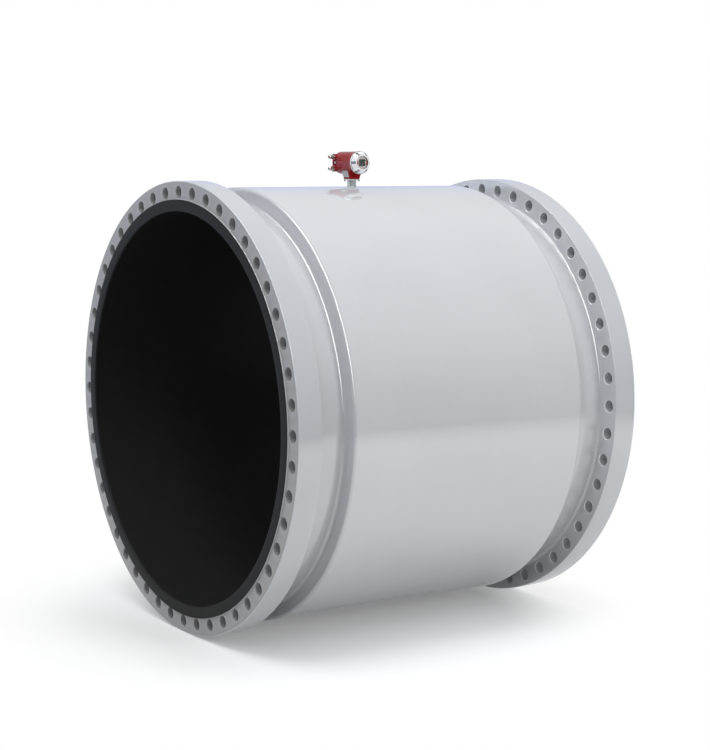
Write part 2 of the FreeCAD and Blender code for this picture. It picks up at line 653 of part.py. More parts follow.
def lead(x, side, angle, start_r):
    """Insulated lead in the plane x: out of its start, round the yoke to the top, and up the stem.

    side is +1 on the +Y side and -1 on the -Y side, and angle is that of its start from the top.
    """
    ring_r = YOKE_OUT_R + FIT + LEAD_DIAMETER / 2
    rise_y = LEAD_SPACING / 2
    bend = LEAD_BEND

    def at(radius, tangent, theta):
        """Point by its radius and its offset along the ring, from the start's direction."""
        y = radius * math.sin(theta) + tangent * math.cos(theta)
        z = radius * math.cos(theta) - tangent * math.sin(theta)
        return FreeCAD.Vector(x, side * y, z)

    start = math.radians(angle)
    mid_r = ring_r - bend
    turn_in = math.asin(bend / mid_r)
    first_centre_r = mid_r * math.cos(turn_in)
    ring_start = start - turn_in
    lower_arc = [
        at(first_centre_r, 0, start),
        FreeCAD.Vector(),
        at(ring_r, 0, ring_start),
    ]
    centre = at(first_centre_r, -bend, start)
    toward = (lower_arc[0] - centre).normalize() + (lower_arc[2] - centre).normalize()
    lower_arc[1] = centre + toward.normalize() * bend

    top_centre_y = rise_y + bend
    top_centre_z = math.sqrt((ring_r + bend) ** 2 - top_centre_y ** 2)
    ring_end = math.asin(top_centre_y / (ring_r + bend))
    top_centre = FreeCAD.Vector(x, side * top_centre_y, top_centre_z)
    upper_start = at(ring_r, 0, ring_end)
    upper_end = FreeCAD.Vector(x, side * rise_y, top_centre_z)
    toward = (upper_start - top_centre).normalize() + (upper_end - top_centre).normalize()
    upper_middle = top_centre + toward.normalize() * bend

    path = Part.Wire([
        Part.makeLine(at(start_r, 0, start), lower_arc[0]),
        Part.Arc(lower_arc[0], lower_arc[1], lower_arc[2]).toShape(),
        Part.Arc(lower_arc[2], at(ring_r, 0, (ring_start + ring_end) / 2), upper_start).toShape(),
        Part.Arc(upper_start, upper_middle, upper_end).toShape(),
        Part.makeLine(upper_end, FreeCAD.Vector(x, side * rise_y, AXIS_Z - FRONT_CHAMBER_R)),
    ])
    circle = Part.makeCircle(LEAD_DIAMETER / 2, at(start_r, 0, start), at(1, 0, start) - at(0, 0, start))
    return solid(path.makePipeShell([Part.Wire(circle)], True, False))


def signal_leads():
    start_r = TAG_Z + ELECTRODE_TAG_THICKNESS + SEAT
    return [lead(signal_lead_x(), side, 90, start_r) for side in (1, -1)]


def coil_leads():
    """One lead from each winding, out through a hole in the yoke."""
    start_r = COIL_OUT_R + SEAT
    upper = lead(coil_lead_x(), 1, COIL_LEAD_ANGLE, start_r)
    lower = lead(coil_lead_x(), -1, 180 - COIL_LEAD_ANGLE, start_r)
    return [upper, lower]


# ---- stem -------------------------------------------------------------------------------------
def plate_outline(half_x, half_y, corner, z):
    """Rounded rectangle about the stem's axis."""
    corners = [(-half_x, -half_y), (half_x, -half_y), (half_x, half_y), (-half_x, half_y)]
    return outline([c + (corner,) for c in corners], lambda x, y: FreeCAD.Vector(STEM_OFFSET + x, y, z))


def at_stem_bolts(piece):
    """Copies of a piece made on the Z axis, at the stem's four bolts."""
    copies = []
    for x in (-STEM_BOLT_PITCH, STEM_BOLT_PITCH):
        for y in (-STEM_BOLT_PITCH, STEM_BOLT_PITCH):
            copy = piece.copy()
            copy.translate(FreeCAD.Vector(STEM_OFFSET + x, y, 0))
            copies.append(copy)
    return copies


def stem_tube():
    start = FreeCAD.Vector(STEM_OFFSET, 0, SHELL_R - STEM_ROOT)
    length = STEM_TOP_Z - start.z
    outside = Part.makeCylinder(STEM_DIAMETER / 2, length, start)
    inside = Part.makeCylinder(STEM_DIAMETER / 2 - STEM_WALL, length, start)
    weld = turned_z([
        (SHELL_R, STEM_DIAMETER / 2 - STEM_WALL / 2),
        (SHELL_R, STEM_DIAMETER / 2 + STEM_WELD_LEG),
        (SHELL_R + STEM_WELD_LEG, STEM_DIAMETER / 2),
        (SHELL_R + STEM_WELD_LEG, STEM_DIAMETER / 2 - STEM_WALL / 2),
    ])
    weld.translate(X_AXIS * STEM_OFFSET)
    return outside.fuse(weld).cut(inside).removeSplitter().Solids[0]


def stem_plate():
    half = STEM_PLATE_SIDE / 2
    plate = Part.Face(plate_outline(half, half, STEM_PLATE_CORNER, STEM_TOP_Z))
    plate = plate.extrude(Z_AXIS * STEM_PLATE_THICKNESS)
    hole = Part.makeCylinder(STEM_BOLT / 2 + FIT, STEM_PLATE_THICKNESS, Z_AXIS * STEM_TOP_Z)
    passage = Part.makeCylinder(
        STEM_DIAMETER / 2 - STEM_WALL, STEM_PLATE_THICKNESS, FreeCAD.Vector(STEM_OFFSET, 0, STEM_TOP_Z)
    )
    return plate.cut(at_stem_bolts(hole) + [passage]).Solids[0]


def stem_gasket():
    half = STEM_PLATE_SIDE / 2 - STEM_GASKET_INSET
    sheet = Part.Face(plate_outline(half, half, STEM_PLATE_CORNER, PLATE_TOP_Z))
    gasket = sheet.extrude(Z_AXIS * STEM_GASKET_THICKNESS)
    hole = Part.makeCylinder(STEM_BOLT / 2 + FIT, STEM_GASKET_THICKNESS, Z_AXIS * PLATE_TOP_Z)
    passage = Part.makeCylinder(
        NECK_PASSAGE / 2, STEM_GASKET_THICKNESS, FreeCAD.Vector(STEM_OFFSET, 0, PLATE_TOP_Z)
    )
    return gasket.cut(at_stem_bolts(hole) + [passage]).Solids[0]


def stem_bolts():
    """Socket screws, put in from below."""
    head_z = STEM_TOP_Z - SEAT - STEM_BOLT_HEAD_HEIGHT
    bolt = turned_z([
        (head_z, 0),
        (head_z, STEM_BOLT_HEAD / 2, EDGE_RADIUS),
        (STEM_TOP_Z - SEAT, STEM_BOLT_HEAD / 2),
        (STEM_TOP_Z - SEAT, STEM_BOLT / 2),
        (NECK_Z + STEM_BOLT_DEPTH - THREAD_RUNOUT, STEM_BOLT / 2),
        (NECK_Z + STEM_BOLT_DEPTH - THREAD_RUNOUT, 0),
    ])
    socket = hexagon(STEM_BOLT * SOCKET_RATIO, Z_AXIS * head_z, STEM_BOLT_HEAD_HEIGHT / 2)
    return at_stem_bolts(bolt.cut(socket).Solids[0])


# ---- converter housing ------------------------------------------------------------------------
def local(x, y, z):
    """Point from the barrel's centre."""
    return BARREL_CENTRE + FreeCAD.Vector(x, y, z)


def circle_at(x, y, z, radius):
    """Circle across the barrel's direction, for the fairings."""
    return Part.Wire(Part.makeCircle(radius, local(x, y, z), Y_AXIS))


def gland_boss(height):
    """Boss of one cable entry and the fairing that fades it into the barrel, forward."""
    half = GLAND_BOSS_DIAMETER / 2
    root_x = -BARREL_R / 2
    boss = Part.makeCylinder(half, root_x - BOSS_FACE_X, local(BOSS_FACE_X, GLAND_Y, height), X_AXIS)
    tip_angle = math.radians(math.copysign(FAIRING_TIP_ANGLE, height))
    tip_r = BARREL_R - FAIRING_TIP
    start_y = GLAND_Y - FAIRING_START
    start_r = half - FAIRING_INSET
    tip_x = -tip_r * math.cos(tip_angle)
    tip_z = tip_r * math.sin(tip_angle)
    start = circle_at(BOSS_FACE_X + half, start_y, height, start_r)
    tip = circle_at(tip_x, GLAND_Y - FAIRING_LENGTH, tip_z, FAIRING_TIP)
    fairing = solid(Part.makeLoft([start, tip], True, True))
    shoulder = Part.makeCylinder(start_r, FAIRING_START, local(BOSS_FACE_X + half, start_y, height), Y_AXIS)
    return [boss, fairing, shoulder]


def gland_pad():
    """Flat pad behind both bosses, out to the rear face."""
    half = GLAND_HALF_SPACING + GLAND_BOSS_DIAMETER / 2 - PAD_INSET
    return block(
        local(BOSS_FACE_X, GLAND_Y, -half),
        local(-BARREL_R / 2, BARREL_REAR - BARREL_REAR_CHAMFER, half),
    )


def gland_pocket():
    """Cutter for the recess between the bosses, which runs out on the barrel."""
    half = GLAND_HALF_SPACING - GLAND_BOSS_DIAMETER / 2
    reach_x = BOSS_FACE_X - POCKET_DEPTH
    section = outline([
        (POCKET_FLOOR_X, GLAND_Y + POCKET_REAR, POCKET_RADIUS),
        (reach_x, GLAND_Y + POCKET_REAR),
        (reach_x, GLAND_Y - POCKET_FRONT - POCKET_DEPTH),
        (POCKET_FLOOR_X, GLAND_Y - POCKET_FRONT, POCKET_RADIUS),
    ], lambda x, y: local(x, y, -half))
    return Part.Face(section).extrude(Z_AXIS * 2 * half)


def neck():
    """Flared foot of the converter housing."""
    half_y = NECK_DEPTH / 2
    shoulder_x = NECK_HALF_WIDTH + NECK_FLARE
    shoulder_y = half_y + NECK_FLARE_DEPTH
    foot = plate_outline(NECK_HALF_WIDTH, half_y, NECK_CORNER, NECK_Z)
    shoulder = plate_outline(shoulder_x, shoulder_y, NECK_CORNER, NECK_Z + NECK_SHOULDER)
    return solid(Part.makeLoft([foot, shoulder], True, True))


def converter_housing():
    """Cast housing: barrel with a chamber at each end, cable-entry bosses and foot."""
    barrel = turned_y([
        (-BARREL_FRONT, 0),
        (-BARREL_FRONT, LIP_R, EDGE_RADIUS),
        (-BARREL_FRONT + FRONT_LIP_WIDTH, LIP_R),
        (-BARREL_FRONT + FRONT_LIP_WIDTH + FRONT_LIP_FLARE, BARREL_R),
        (BARREL_REAR, BARREL_R, BARREL_REAR_CHAMFER),
        (BARREL_REAR, 0),
    ])
    bosses = gland_boss(GLAND_HALF_SPACING) + gland_boss(-GLAND_HALF_SPACING)
    casting = barrel.fuse(bosses + [gland_pad(), neck()])
    thread_end = -BARREL_FRONT + COVER_SKIRT_LENGTH + THREAD_RUNOUT
    front = turned_y([
        (-BARREL_FRONT, 0),
        (-BARREL_FRONT, FRONT_THREAD_R),
        (thread_end, FRONT_THREAD_R),
        (thread_end, FRONT_CHAMBER_R),
        (PARTITION_FRONT, FRONT_CHAMBER_R, CAST_RADIUS),
        (PARTITION_FRONT, 0),
    ])
    thread_start = BARREL_REAR - REAR_SKIRT_LENGTH - THREAD_RUNOUT
    rear = turned_y([
        (PARTITION_REAR, 0),
        (PARTITION_REAR, REAR_CHAMBER_R, CAST_RADIUS),
        (thread_start, REAR_CHAMBER_R),
        (thread_start, REAR_THREAD_R),
        (BARREL_REAR, REAR_THREAD_R),
        (BARREL_REAR, 0),
    ])
    passage = Part.makeCylinder(NECK_PASSAGE / 2, AXIS_Z - NECK_Z, FreeCAD.Vector(STEM_OFFSET, 0, NECK_Z))
    bolt_hole = Part.makeCylinder(STEM_BOLT / 2 + THREAD_PLAY, STEM_BOLT_DEPTH, Z_AXIS * NECK_Z)
    cutters = [front, rear, passage, gland_pocket(), feedthrough_hole(), earth_hole()]
    cutters += at_stem_bolts(bolt_hole) + gland_holes() + plate_rivet_holes()
    return casting.cut(cutters).removeSplitter().Solids[0]


def gland_holes():
    depth = BARREL_R
    return [
        Part.makeCylinder(GLAND_THREAD / 2 + THREAD_PLAY, depth, local(BOSS_FACE_X, GLAND_Y, side), X_AXIS)
        for side in (GLAND_HALF_SPACING, -GLAND_HALF_SPACING)
    ]


def feedthrough_hole():
    start = local(0, PARTITION_FRONT, BARREL_R / 3)
    return Part.makeCylinder(FEEDTHROUGH_DIAMETER / 2 + THREAD_PLAY, PARTITION_THICKNESS, start, Y_AXIS)


def earth_hole():
    depth = EARTH_SCREW_DEPTH + THREAD_RUNOUT
    return Part.makeCylinder(EARTH_SCREW / 2 + THREAD_PLAY, depth, local(POCKET_FLOOR_X, GLAND_Y, 0), X_AXIS)


# ---- cable glands and earth terminal ----------------------------------------------------------
def both_glands(piece):
    """Copies of a piece made on the X axis with x measured out of the boss, at both cable entries."""
    copies = []
    for height in (GLAND_HALF_SPACING, -GLAND_HALF_SPACING):
        copy = piece.copy()
        copy.rotate(ORIGIN, Z_AXIS, 180)
        copy.translate(local(BOSS_FACE_X, GLAND_Y, height))
        copies.append(copy)
    return copies


GLAND_NUT_X = SEAT + GLAND_HEX_LENGTH + GLAND_GAP
GLAND_DOME_X = GLAND_NUT_X + GLAND_NUT_HEX
GLAND_END_X = GLAND_DOME_X + GLAND_DOME_LENGTH
GLAND_SPIGOT_END_X = SEAT + GLAND_HEX_LENGTH + GLAND_SPIGOT_LENGTH
GLAND_NUT_BORE_R = GLAND_SPIGOT / 2 + THREAD_PLAY
GLAND_END_R = GLAND_BORE / 2 - 0.5


def gland_body():
    """Thread into the housing, hexagon, and the spigot that the nut screws on."""
    turned = turned_x([
        (-GLAND_THREAD_LENGTH, GLAND_BORE / 2),
        (GLAND_SPIGOT_END_X, GLAND_BORE / 2),
        (GLAND_SPIGOT_END_X, GLAND_SPIGOT / 2),
        (SEAT, GLAND_SPIGOT / 2),
        (SEAT, GLAND_THREAD / 2),
        (-GLAND_THREAD_LENGTH, GLAND_THREAD / 2),
    ])
    nut = hexagon(GLAND_FLATS, X_AXIS * SEAT, GLAND_HEX_LENGTH, X_AXIS)
    bore = Part.makeCylinder(GLAND_BORE / 2, GLAND_HEX_LENGTH, X_AXIS * SEAT, X_AXIS)
    return turned.fuse(nut.cut(bore)).removeSplitter().Solids[0]


def gland_nut():
    """Domed nut: hexagon behind, rounded nose with the cable's opening."""
    nose_r = GLAND_FLATS / 2 - 0.5
    dome = turned_x([
        (GLAND_NUT_X, 0),
        (GLAND_NUT_X, nose_r),
        (GLAND_END_X, nose_r, GLAND_DOME_RADIUS),
        (GLAND_END_X, 0),
    ])
    grip = hexagon(GLAND_FLATS, X_AXIS * GLAND_NUT_X, GLAND_NUT_HEX, X_AXIS)
    inside = turned_x([
        (GLAND_NUT_X, 0),
        (GLAND_NUT_X, GLAND_NUT_BORE_R),
        (GLAND_END_X - GLAND_NUT_WALL, GLAND_NUT_BORE_R, GLAND_NUT_WALL),
        (GLAND_END_X - GLAND_NUT_WALL, GLAND_END_R),
        (GLAND_END_X, GLAND_END_R),
        (GLAND_END_X, 0),
    ])
    return dome.fuse(grip).cut(inside).removeSplitter().Solids[0]


def gland_seal():
    """Rubber insert that the nut squeezes on the cable."""
    outer_r = GLAND_BORE / 2 - SEAT
    end = GLAND_END_X - GLAND_NUT_WALL - SEAT
    return turned_x([
        (GLAND_SPIGOT_END_X - GLAND_SEAL_DEPTH, GLAND_SEAL_BORE / 2),
        (end, GLAND_SEAL_BORE / 2),
        (end, GLAND_NUT_BORE_R - GLAND_NUT_WALL),
        (GLAND_SPIGOT_END_X + SEAT, GLAND_NUT_BORE_R - SEAT),
        (GLAND_SPIGOT_END_X + SEAT, outer_r),
        (GLAND_SPIGOT_END_X - GLAND_SEAL_DEPTH, outer_r),
    ])


def gland_plug():
    """Blanking plug of an unused cable entry."""
    pin_r = GLAND_SEAL_BORE / 2 - SEAT
    head_r = GLAND_END_R - SEAT
    end = GLAND_END_X + GLAND_PLUG_HEAD
    return turned_x([
        (GLAND_SPIGOT_END_X - GLAND_SEAL_DEPTH, 0),
        (end, 0),
        (end, head_r, HEAD_RADIUS),
        (GLAND_END_X - GLAND_NUT_WALL, head_r),
        (GLAND_END_X - GLAND_NUT_WALL, pin_r),
        (GLAND_SPIGOT_END_X - GLAND_SEAL_DEPTH, pin_r),
    ])


def earth_clamp():
    """Square cup washer of the outside earth terminal."""
    half = EARTH_CLAMP_SIDE / 2
    face_x = POCKET_FLOOR_X - SEAT
    washer = block(
        local(face_x - EARTH_CLAMP_THICKNESS, GLAND_Y - half, -half),
        local(face_x, GLAND_Y + half, half),
    )
    hole = Part.makeCylinder(
        EARTH_SCREW / 2 + SEAT, EARTH_CLAMP_THICKNESS, local(face_x, GLAND_Y, 0), X_AXIS * -1
    )
    return washer.cut(hole).Solids[0]


def earth_screw():
    head_x = -POCKET_FLOOR_X + SEAT + EARTH_CLAMP_THICKNESS + SEAT
    screw = turned_x([
        (-POCKET_FLOOR_X - EARTH_SCREW_DEPTH, 0),
        (head_x + EARTH_SCREW_HEAD_HEIGHT, 0),
        (head_x + EARTH_SCREW_HEAD_HEIGHT, EARTH_SCREW_HEAD / 2, HEAD_RADIUS),
        (head_x, EARTH_SCREW_HEAD / 2),
        (head_x, EARTH_SCREW / 2),
        (-POCKET_FLOOR_X - EARTH_SCREW_DEPTH, EARTH_SCREW / 2),
    ])
    screw.rotate(ORIGIN, Z_AXIS, 180)
    screw.translate(local(0, GLAND_Y, 0))
    slot_x = -(head_x + EARTH_SCREW_HEAD_HEIGHT)
    slot = block(
        local(slot_x, GLAND_Y - EARTH_SCREW_HEAD, -EARTH_SCREW_SLOT / 2),
        local(slot_x + EARTH_SCREW_SLOT_DEPTH, GLAND_Y + EARTH_SCREW_HEAD, EARTH_SCREW_SLOT / 2),
    )
    return screw.cut(slot).Solids[0]


# ---- covers -----------------------------------------------------------------------------------
def grip_slots(rear_y, rear_r, face_y, face_r):
    """Cutters for the grip slots along a coned or straight cover."""
    run = face_y - rear_y
    slope = math.degrees(math.atan2(rear_r - face_r, abs(run)))
    length = math.hypot(run, rear_r - face_r) * 1.5
    slots = []
    for i in range(GRIP_COUNT):
        corner = FreeCAD.Vector(-GRIP_WIDTH / 2, GRIP_START, -GRIP_DEPTH)
        slot = Part.makeBox(GRIP_WIDTH, length, GRIP_DEPTH * 4, corner)
        slot.rotate(ORIGIN, X_AXIS, -slope)
        if run < 0:
            slot = mirrored(slot, Y_AXIS)
        slot.translate(FreeCAD.Vector(0, rear_y, rear_r))
        slot.rotate(ORIGIN, Y_AXIS, 90 + 360 / GRIP_COUNT * i)
        slot.translate(BARREL_CENTRE)
        slots.append(slot)
    return slots


def front_cover():
    """Screwed cover with the window: threaded skirt, seal groove, coned grip."""
    band_y = -(BARREL_FRONT + COVER_BAND)
    cone_y = band_y - COVER_BAND_STEP / 2
    band_r = LIP_R - COVER_INSET
    cone_r = band_r - COVER_BAND_STEP
    skirt_r = FRONT_THREAD_R - THREAD_PLAY
    groove_low = FRONT_SEAL_R - SEAL_SECTION / 2 - SEAL_PLAY
    groove_high = groove_low + SEAL_SECTION + 2 * SEAL_PLAY
    groove_y = COVER_REAR_Y - SEAL_SECTION - SEAL_PLAY + SEAT
    ring = turned_y([
        (COVER_REAR_Y + COVER_SKIRT_LENGTH, skirt_r - COVER_SKIRT_WALL),
        (COVER_REAR_Y + COVER_SKIRT_LENGTH, skirt_r, EDGE_RADIUS),
        (COVER_REAR_Y, skirt_r),
        (COVER_REAR_Y, groove_low),
        (groove_y, groove_low),
        (groove_y, groove_high),
        (COVER_REAR_Y, groove_high),
        (COVER_REAR_Y, band_r, EDGE_RADIUS),
        (band_y, band_r, EDGE_RADIUS),
        (cone_y, cone_r),
        (COVER_FACE_Y, COVER_FACE_R, COVER_FACE_CHAMFER),
        (COVER_FACE_Y, WINDOW_DIAMETER / 2, EDGE_RADIUS),
        (GASKET_Y, WINDOW_DIAMETER / 2),
        (GASKET_Y, GLASS_R + SEAT),
        (GLASS_RING_END_Y, GLASS_R + SEAT),
    ])
    return ring.cut(grip_slots(cone_y, cone_r, COVER_FACE_Y, COVER_FACE_R)).Solids[0]


def front_cover_seal():
    """O-ring in the groove of the front cover."""
    return o_ring(FRONT_SEAL_R, COVER_REAR_Y - SEAL_SECTION / 2 + SEAT, SEAL_SECTION)


def o_ring(ring_r, ring_y, section):
    return Part.makeTorus(ring_r, section / 2, local(0, ring_y, 0), Y_AXIS)


def window_gasket():
    return turned_y([
        (GASKET_Y + SEAT / 2, WINDOW_DIAMETER / 2),
        (GASKET_Y + SEAT / 2, GLASS_R),
        (GASKET_Y + SEAT / 2 + WINDOW_GASKET, GLASS_R),
        (GASKET_Y + SEAT / 2 + WINDOW_GASKET, WINDOW_DIAMETER / 2),
    ])


def window_glass():
    return turned_y([
        (GLASS_Y, 0),
        (GLASS_Y, GLASS_R, EDGE_RADIUS),
        (GLASS_Y + GLASS_THICKNESS, GLASS_R, EDGE_RADIUS),
        (GLASS_Y + GLASS_THICKNESS, 0),
    ])


def window_ring():
    """Ring that holds the glass in, from behind."""
    return turned_y([
        (GLASS_RING_Y, GLASS_R - GLASS_RING_WALL),
        (GLASS_RING_Y, GLASS_R),
        (GLASS_RING_END_Y, GLASS_R),
        (GLASS_RING_END_Y, GLASS_R - GLASS_RING_WALL),
    ])


def rear_cover():
    """Blind screwed cover of the terminal chamber."""
    face_y = BARREL_REAR + SEAL_PLAY
    end_y = face_y + REAR_COVER_DEPTH
    cover_r = REAR_COVER_DIAMETER / 2
    skirt_r = REAR_THREAD_R - THREAD_PLAY
    groove_low = (REAR_THREAD_R + cover_r - REAR_SEAL_SECTION) / 2 - SEAL_PLAY
    groove_high = groove_low + REAR_SEAL_SECTION + 2 * SEAL_PLAY
    groove_y = face_y + REAR_SEAL_SECTION + SEAL_PLAY - SEAT
    cover = turned_y([
        (end_y, 0),
        (end_y, cover_r, REAR_COVER_CHAMFER),
        (face_y, cover_r, EDGE_RADIUS),
        (face_y, groove_high),
        (groove_y, groove_high),
        (groove_y, groove_low),
        (face_y, groove_low),
        (face_y, skirt_r),
        (face_y - REAR_SKIRT_LENGTH, skirt_r, EDGE_RADIUS),
        (face_y - REAR_SKIRT_LENGTH, skirt_r - REAR_SKIRT_WALL),
        (end_y - REAR_COVER_END, skirt_r - REAR_SKIRT_WALL, CAST_RADIUS),
        (end_y - REAR_COVER_END, 0),
    ])
    slot_start = groove_y + GRIP_START
    return cover.cut(grip_slots(slot_start, cover_r, end_y, cover_r)).Solids[0]


def rear_cover_seal():
    """O-ring in the groove of the rear cover."""
    ring_r = (REAR_THREAD_R + REAR_COVER_DIAMETER / 2) / 2
    ring_y = BARREL_REAR + SEAL_PLAY + REAR_SEAL_SECTION / 2 - SEAT
    return o_ring(ring_r, ring_y, REAR_SEAL_SECTION)


# ---- display and electronics ------------------------------------------------------------------
def display_disc(front_y, back_y):
    start = local(0, front_y, 0)
    return Part.makeCylinder(DISPLAY_DIAMETER / 2, back_y - front_y, start, Y_AXIS)


def side_field_boxes(play):
    """Left and right of the screen, out to the rim, from a little below the face."""
    inner = DISPLAY_BAND / 2 - play
    half = DISPLAY_FIELD_HEIGHT / 2 + play
    right = block(local(inner, DISPLAY_Y, -half), local(DISPLAY_DIAMETER, DISPLAY_BACK_Y, half))
    return [right, mirrored(right, X_AXIS, BARREL_CENTRE)]


def display_bezel():
    """Pale face round the screen, open at both sides for the coloured fields."""
    disc = display_disc(DISPLAY_Y, DISPLAY_BACK_Y)
    opening = block(
        local(-SCREEN_WIDTH / 2 - SEAT, DISPLAY_Y, -SCREEN_HEIGHT / 2 - SEAT),
        local(SCREEN_WIDTH / 2 + SEAT, DISPLAY_BACK_Y, SCREEN_HEIGHT / 2 + SEAT),
    )
    return disc.cut(side_field_boxes(SEAT) + [opening]).Solids[0]


def display_side_fields():
    """Coloured fields beside the screen, a little lower than the face round them."""
    disc = display_disc(DISPLAY_Y + SCREEN_RECESS, DISPLAY_BACK_Y)
    return [disc.common(box).Solids[0] for box in side_field_boxes(0)]


def display_screen():
    return block(
        local(-SCREEN_WIDTH / 2, DISPLAY_Y + SCREEN_RECESS, -SCREEN_HEIGHT / 2),
        local(SCREEN_WIDTH / 2, DISPLAY_BACK_Y, SCREEN_HEIGHT / 2),
    )


def display_board():
    front_y = DISPLAY_BACK_Y + SEAT
    return display_disc(front_y, front_y + BOARD_THICKNESS)


def electronics_frame():
    """Moulded frame: a ring on the partition and two rails that carry the boards and the display."""
    rear_y = PARTITION_FRONT - SEAT
    ring = turned_y([
        (rear_y - FRAME_RING_DEPTH, FRAME_R - FRAME_RING_WIDTH),
        (rear_y - FRAME_RING_DEPTH, FRAME_R),
        (rear_y, FRAME_R, CAST_RADIUS),
        (rear_y, FRAME_R - FRAME_RING_WIDTH),
    ])
    front_y = DISPLAY_BACK_Y + SEAT + BOARD_THICKNESS + SEAT
    half = FRAME_RAIL_HEIGHT / 2
    rails = []
    for side in (-1, 1):
        inner = side * RAIL_X
        outer = side * (RAIL_X + FRAME_RAIL_WIDTH)
        rails.append(block(
            local(min(inner, outer), front_y, -half),
            local(max(inner, outer), rear_y - FRAME_RING_DEPTH / 2, half),
        ))
    tie = block(
        local(-FRAME_R + FRAME_RING_WIDTH / 2, rear_y - FRAME_RING_DEPTH, -half),
        local(FRAME_R - FRAME_RING_WIDTH / 2, rear_y - FRAME_RING_DEPTH / 2, half),
    )
    return ring.fuse(rails + [tie]).removeSplitter().Solids[0]


def circuit_board(from_stem):
    """Board between the frame's rails."""
    half = RAIL_X - SEAT
    return block(
        local(-half, -from_stem - BOARD_THICKNESS, -BOARD_HALF_HEIGHT),
        local(half, -from_stem, BOARD_HALF_HEIGHT),
    )


def feedthrough():
    """Sealed connector through the partition."""
    start = local(0, PARTITION_FRONT - FEEDTHROUGH_PROUD, BARREL_R / 3)
    length = PARTITION_THICKNESS + 2 * FEEDTHROUGH_PROUD
    return Part.makeCylinder(FEEDTHROUGH_DIAMETER / 2, length, start, Y_AXIS)


def terminal_pitch(i):
    return (i - (TERMINAL_COUNT - 1) / 2) * TERMINAL_BLOCK_LENGTH / TERMINAL_COUNT


def terminal_block():
    """Row of screw terminals on the partition."""
    low_y = PARTITION_REAR + SEAT
    body = block(
        local(-TERMINAL_BLOCK_LENGTH / 2, low_y, -TERMINAL_BLOCK_HEIGHT),
        local(TERMINAL_BLOCK_LENGTH / 2, low_y + TERMINAL_BLOCK_DEPTH, 0),
    )
    cutters = []
    for i in range(TERMINAL_COUNT):
        x = terminal_pitch(i)
        cutters.append(Part.makeCylinder(
            TERMINAL_SCREW / 2 + SEAT, TERMINAL_BLOCK_DEPTH / 2,
            local(x, low_y + TERMINAL_BLOCK_DEPTH / 2, -TERMINAL_BLOCK_HEIGHT / 3), Y_AXIS,
        ))
        cutters.append(block(
            local(x - TERMINAL_SCREW / 2, low_y + TERMINAL_BLOCK_DEPTH / 2, -TERMINAL_BLOCK_HEIGHT),
            local(x + TERMINAL_SCREW / 2, low_y + TERMINAL_BLOCK_DEPTH * 0.8, -TERMINAL_BLOCK_HEIGHT * 0.7),
        ))
    return body.cut(cutters).Solids[0]


def terminal_screws():
    start_y = PARTITION_REAR + SEAT + TERMINAL_BLOCK_DEPTH / 2 + SEAT
    length = TERMINAL_BLOCK_DEPTH / 2 + TERMINAL_SCREW_PROUD
    return [
        Part.makeCylinder(
            TERMINAL_SCREW / 2, length,
            local(terminal_pitch(i), start_y, -TERMINAL_BLOCK_HEIGHT / 3), Y_AXIS,
        )
        for i in range(TERMINAL_COUNT)
    ]


# ---- name plate -------------------------------------------------------------------------------
def on_neck_side(shape):
    """Move a piece from its own frame (face in XY, outward +Z) onto the neck's sloping -X side."""
    slope = math.degrees(math.atan2(NECK_FLARE, NECK_SHOULDER))
    copy = shape.copy()
    copy.rotate(ORIGIN, Z_AXIS, -90)
    copy.rotate(ORIGIN, Y_AXIS, -90)
    copy.rotate(ORIGIN, Y_AXIS, -slope)
    middle = NECK_SHOULDER * PLATE_MIDDLE
    offset = NECK_HALF_WIDTH + NECK_FLARE * middle / NECK_SHOULDER
    copy.translate(FreeCAD.Vector(STEM_OFFSET - offset, 0, NECK_Z + middle))
    return copy


def rivet_places():
    half_x = PLATE_WIDTH / 2 - RIVET_INSET
    half_y = PLATE_HEIGHT / 2 - RIVET_INSET
    return [FreeCAD.Vector(x, y, 0) for x in (-half_x, half_x) for y in (-half_y, half_y)]


def plate_rivet_holes():
    depth = RIVET_DEPTH + THREAD_RUNOUT
    hole = Part.makeCylinder(RIVET_DIAMETER / 2 + THREAD_PLAY, depth + SEAT, Z_AXIS * -depth)
    return [on_neck_side(hole.translated(place)) for place in rivet_places()]


def nameplate():
    """Bare plate on the neck."""
    half_x = PLATE_WIDTH / 2
    half_y = PLATE_HEIGHT / 2
    corners = [(-half_x, -half_y), (half_x, -half_y), (half_x, half_y), (-half_x, half_y)]
    wire = outline([c + (PLATE_CORNER,) for c in corners], lambda a, b: FreeCAD.Vector(a, b, SEAT))
    plate = Part.Face(wire).extrude(Z_AXIS * PLATE_THICKNESS)
    depth = SEAT + PLATE_THICKNESS
    holes = [Part.makeCylinder(RIVET_DIAMETER / 2 + THREAD_PLAY, depth, place) for place in rivet_places()]
    return on_neck_side(plate.cut(holes).Solids[0])


def plate_rivets():
    head_z = SEAT + PLATE_THICKNESS + THREAD_PLAY
    rivet = turned_z([
        (-RIVET_DEPTH, 0),
        (-RIVET_DEPTH, RIVET_DIAMETER / 2),
        (head_z, RIVET_DIAMETER / 2),
        (head_z, RIVET_HEAD / 2),
        (head_z + RIVET_HEAD_HEIGHT, RIVET_HEAD / 2, EDGE_RADIUS),
        (head_z + RIVET_HEAD_HEIGHT, 0),
    ])
    rivets = []
    for place in rivet_places():
        copy = rivet.copy()
        copy.translate(place)
        rivets.append(on_neck_side(copy))
    return rivets


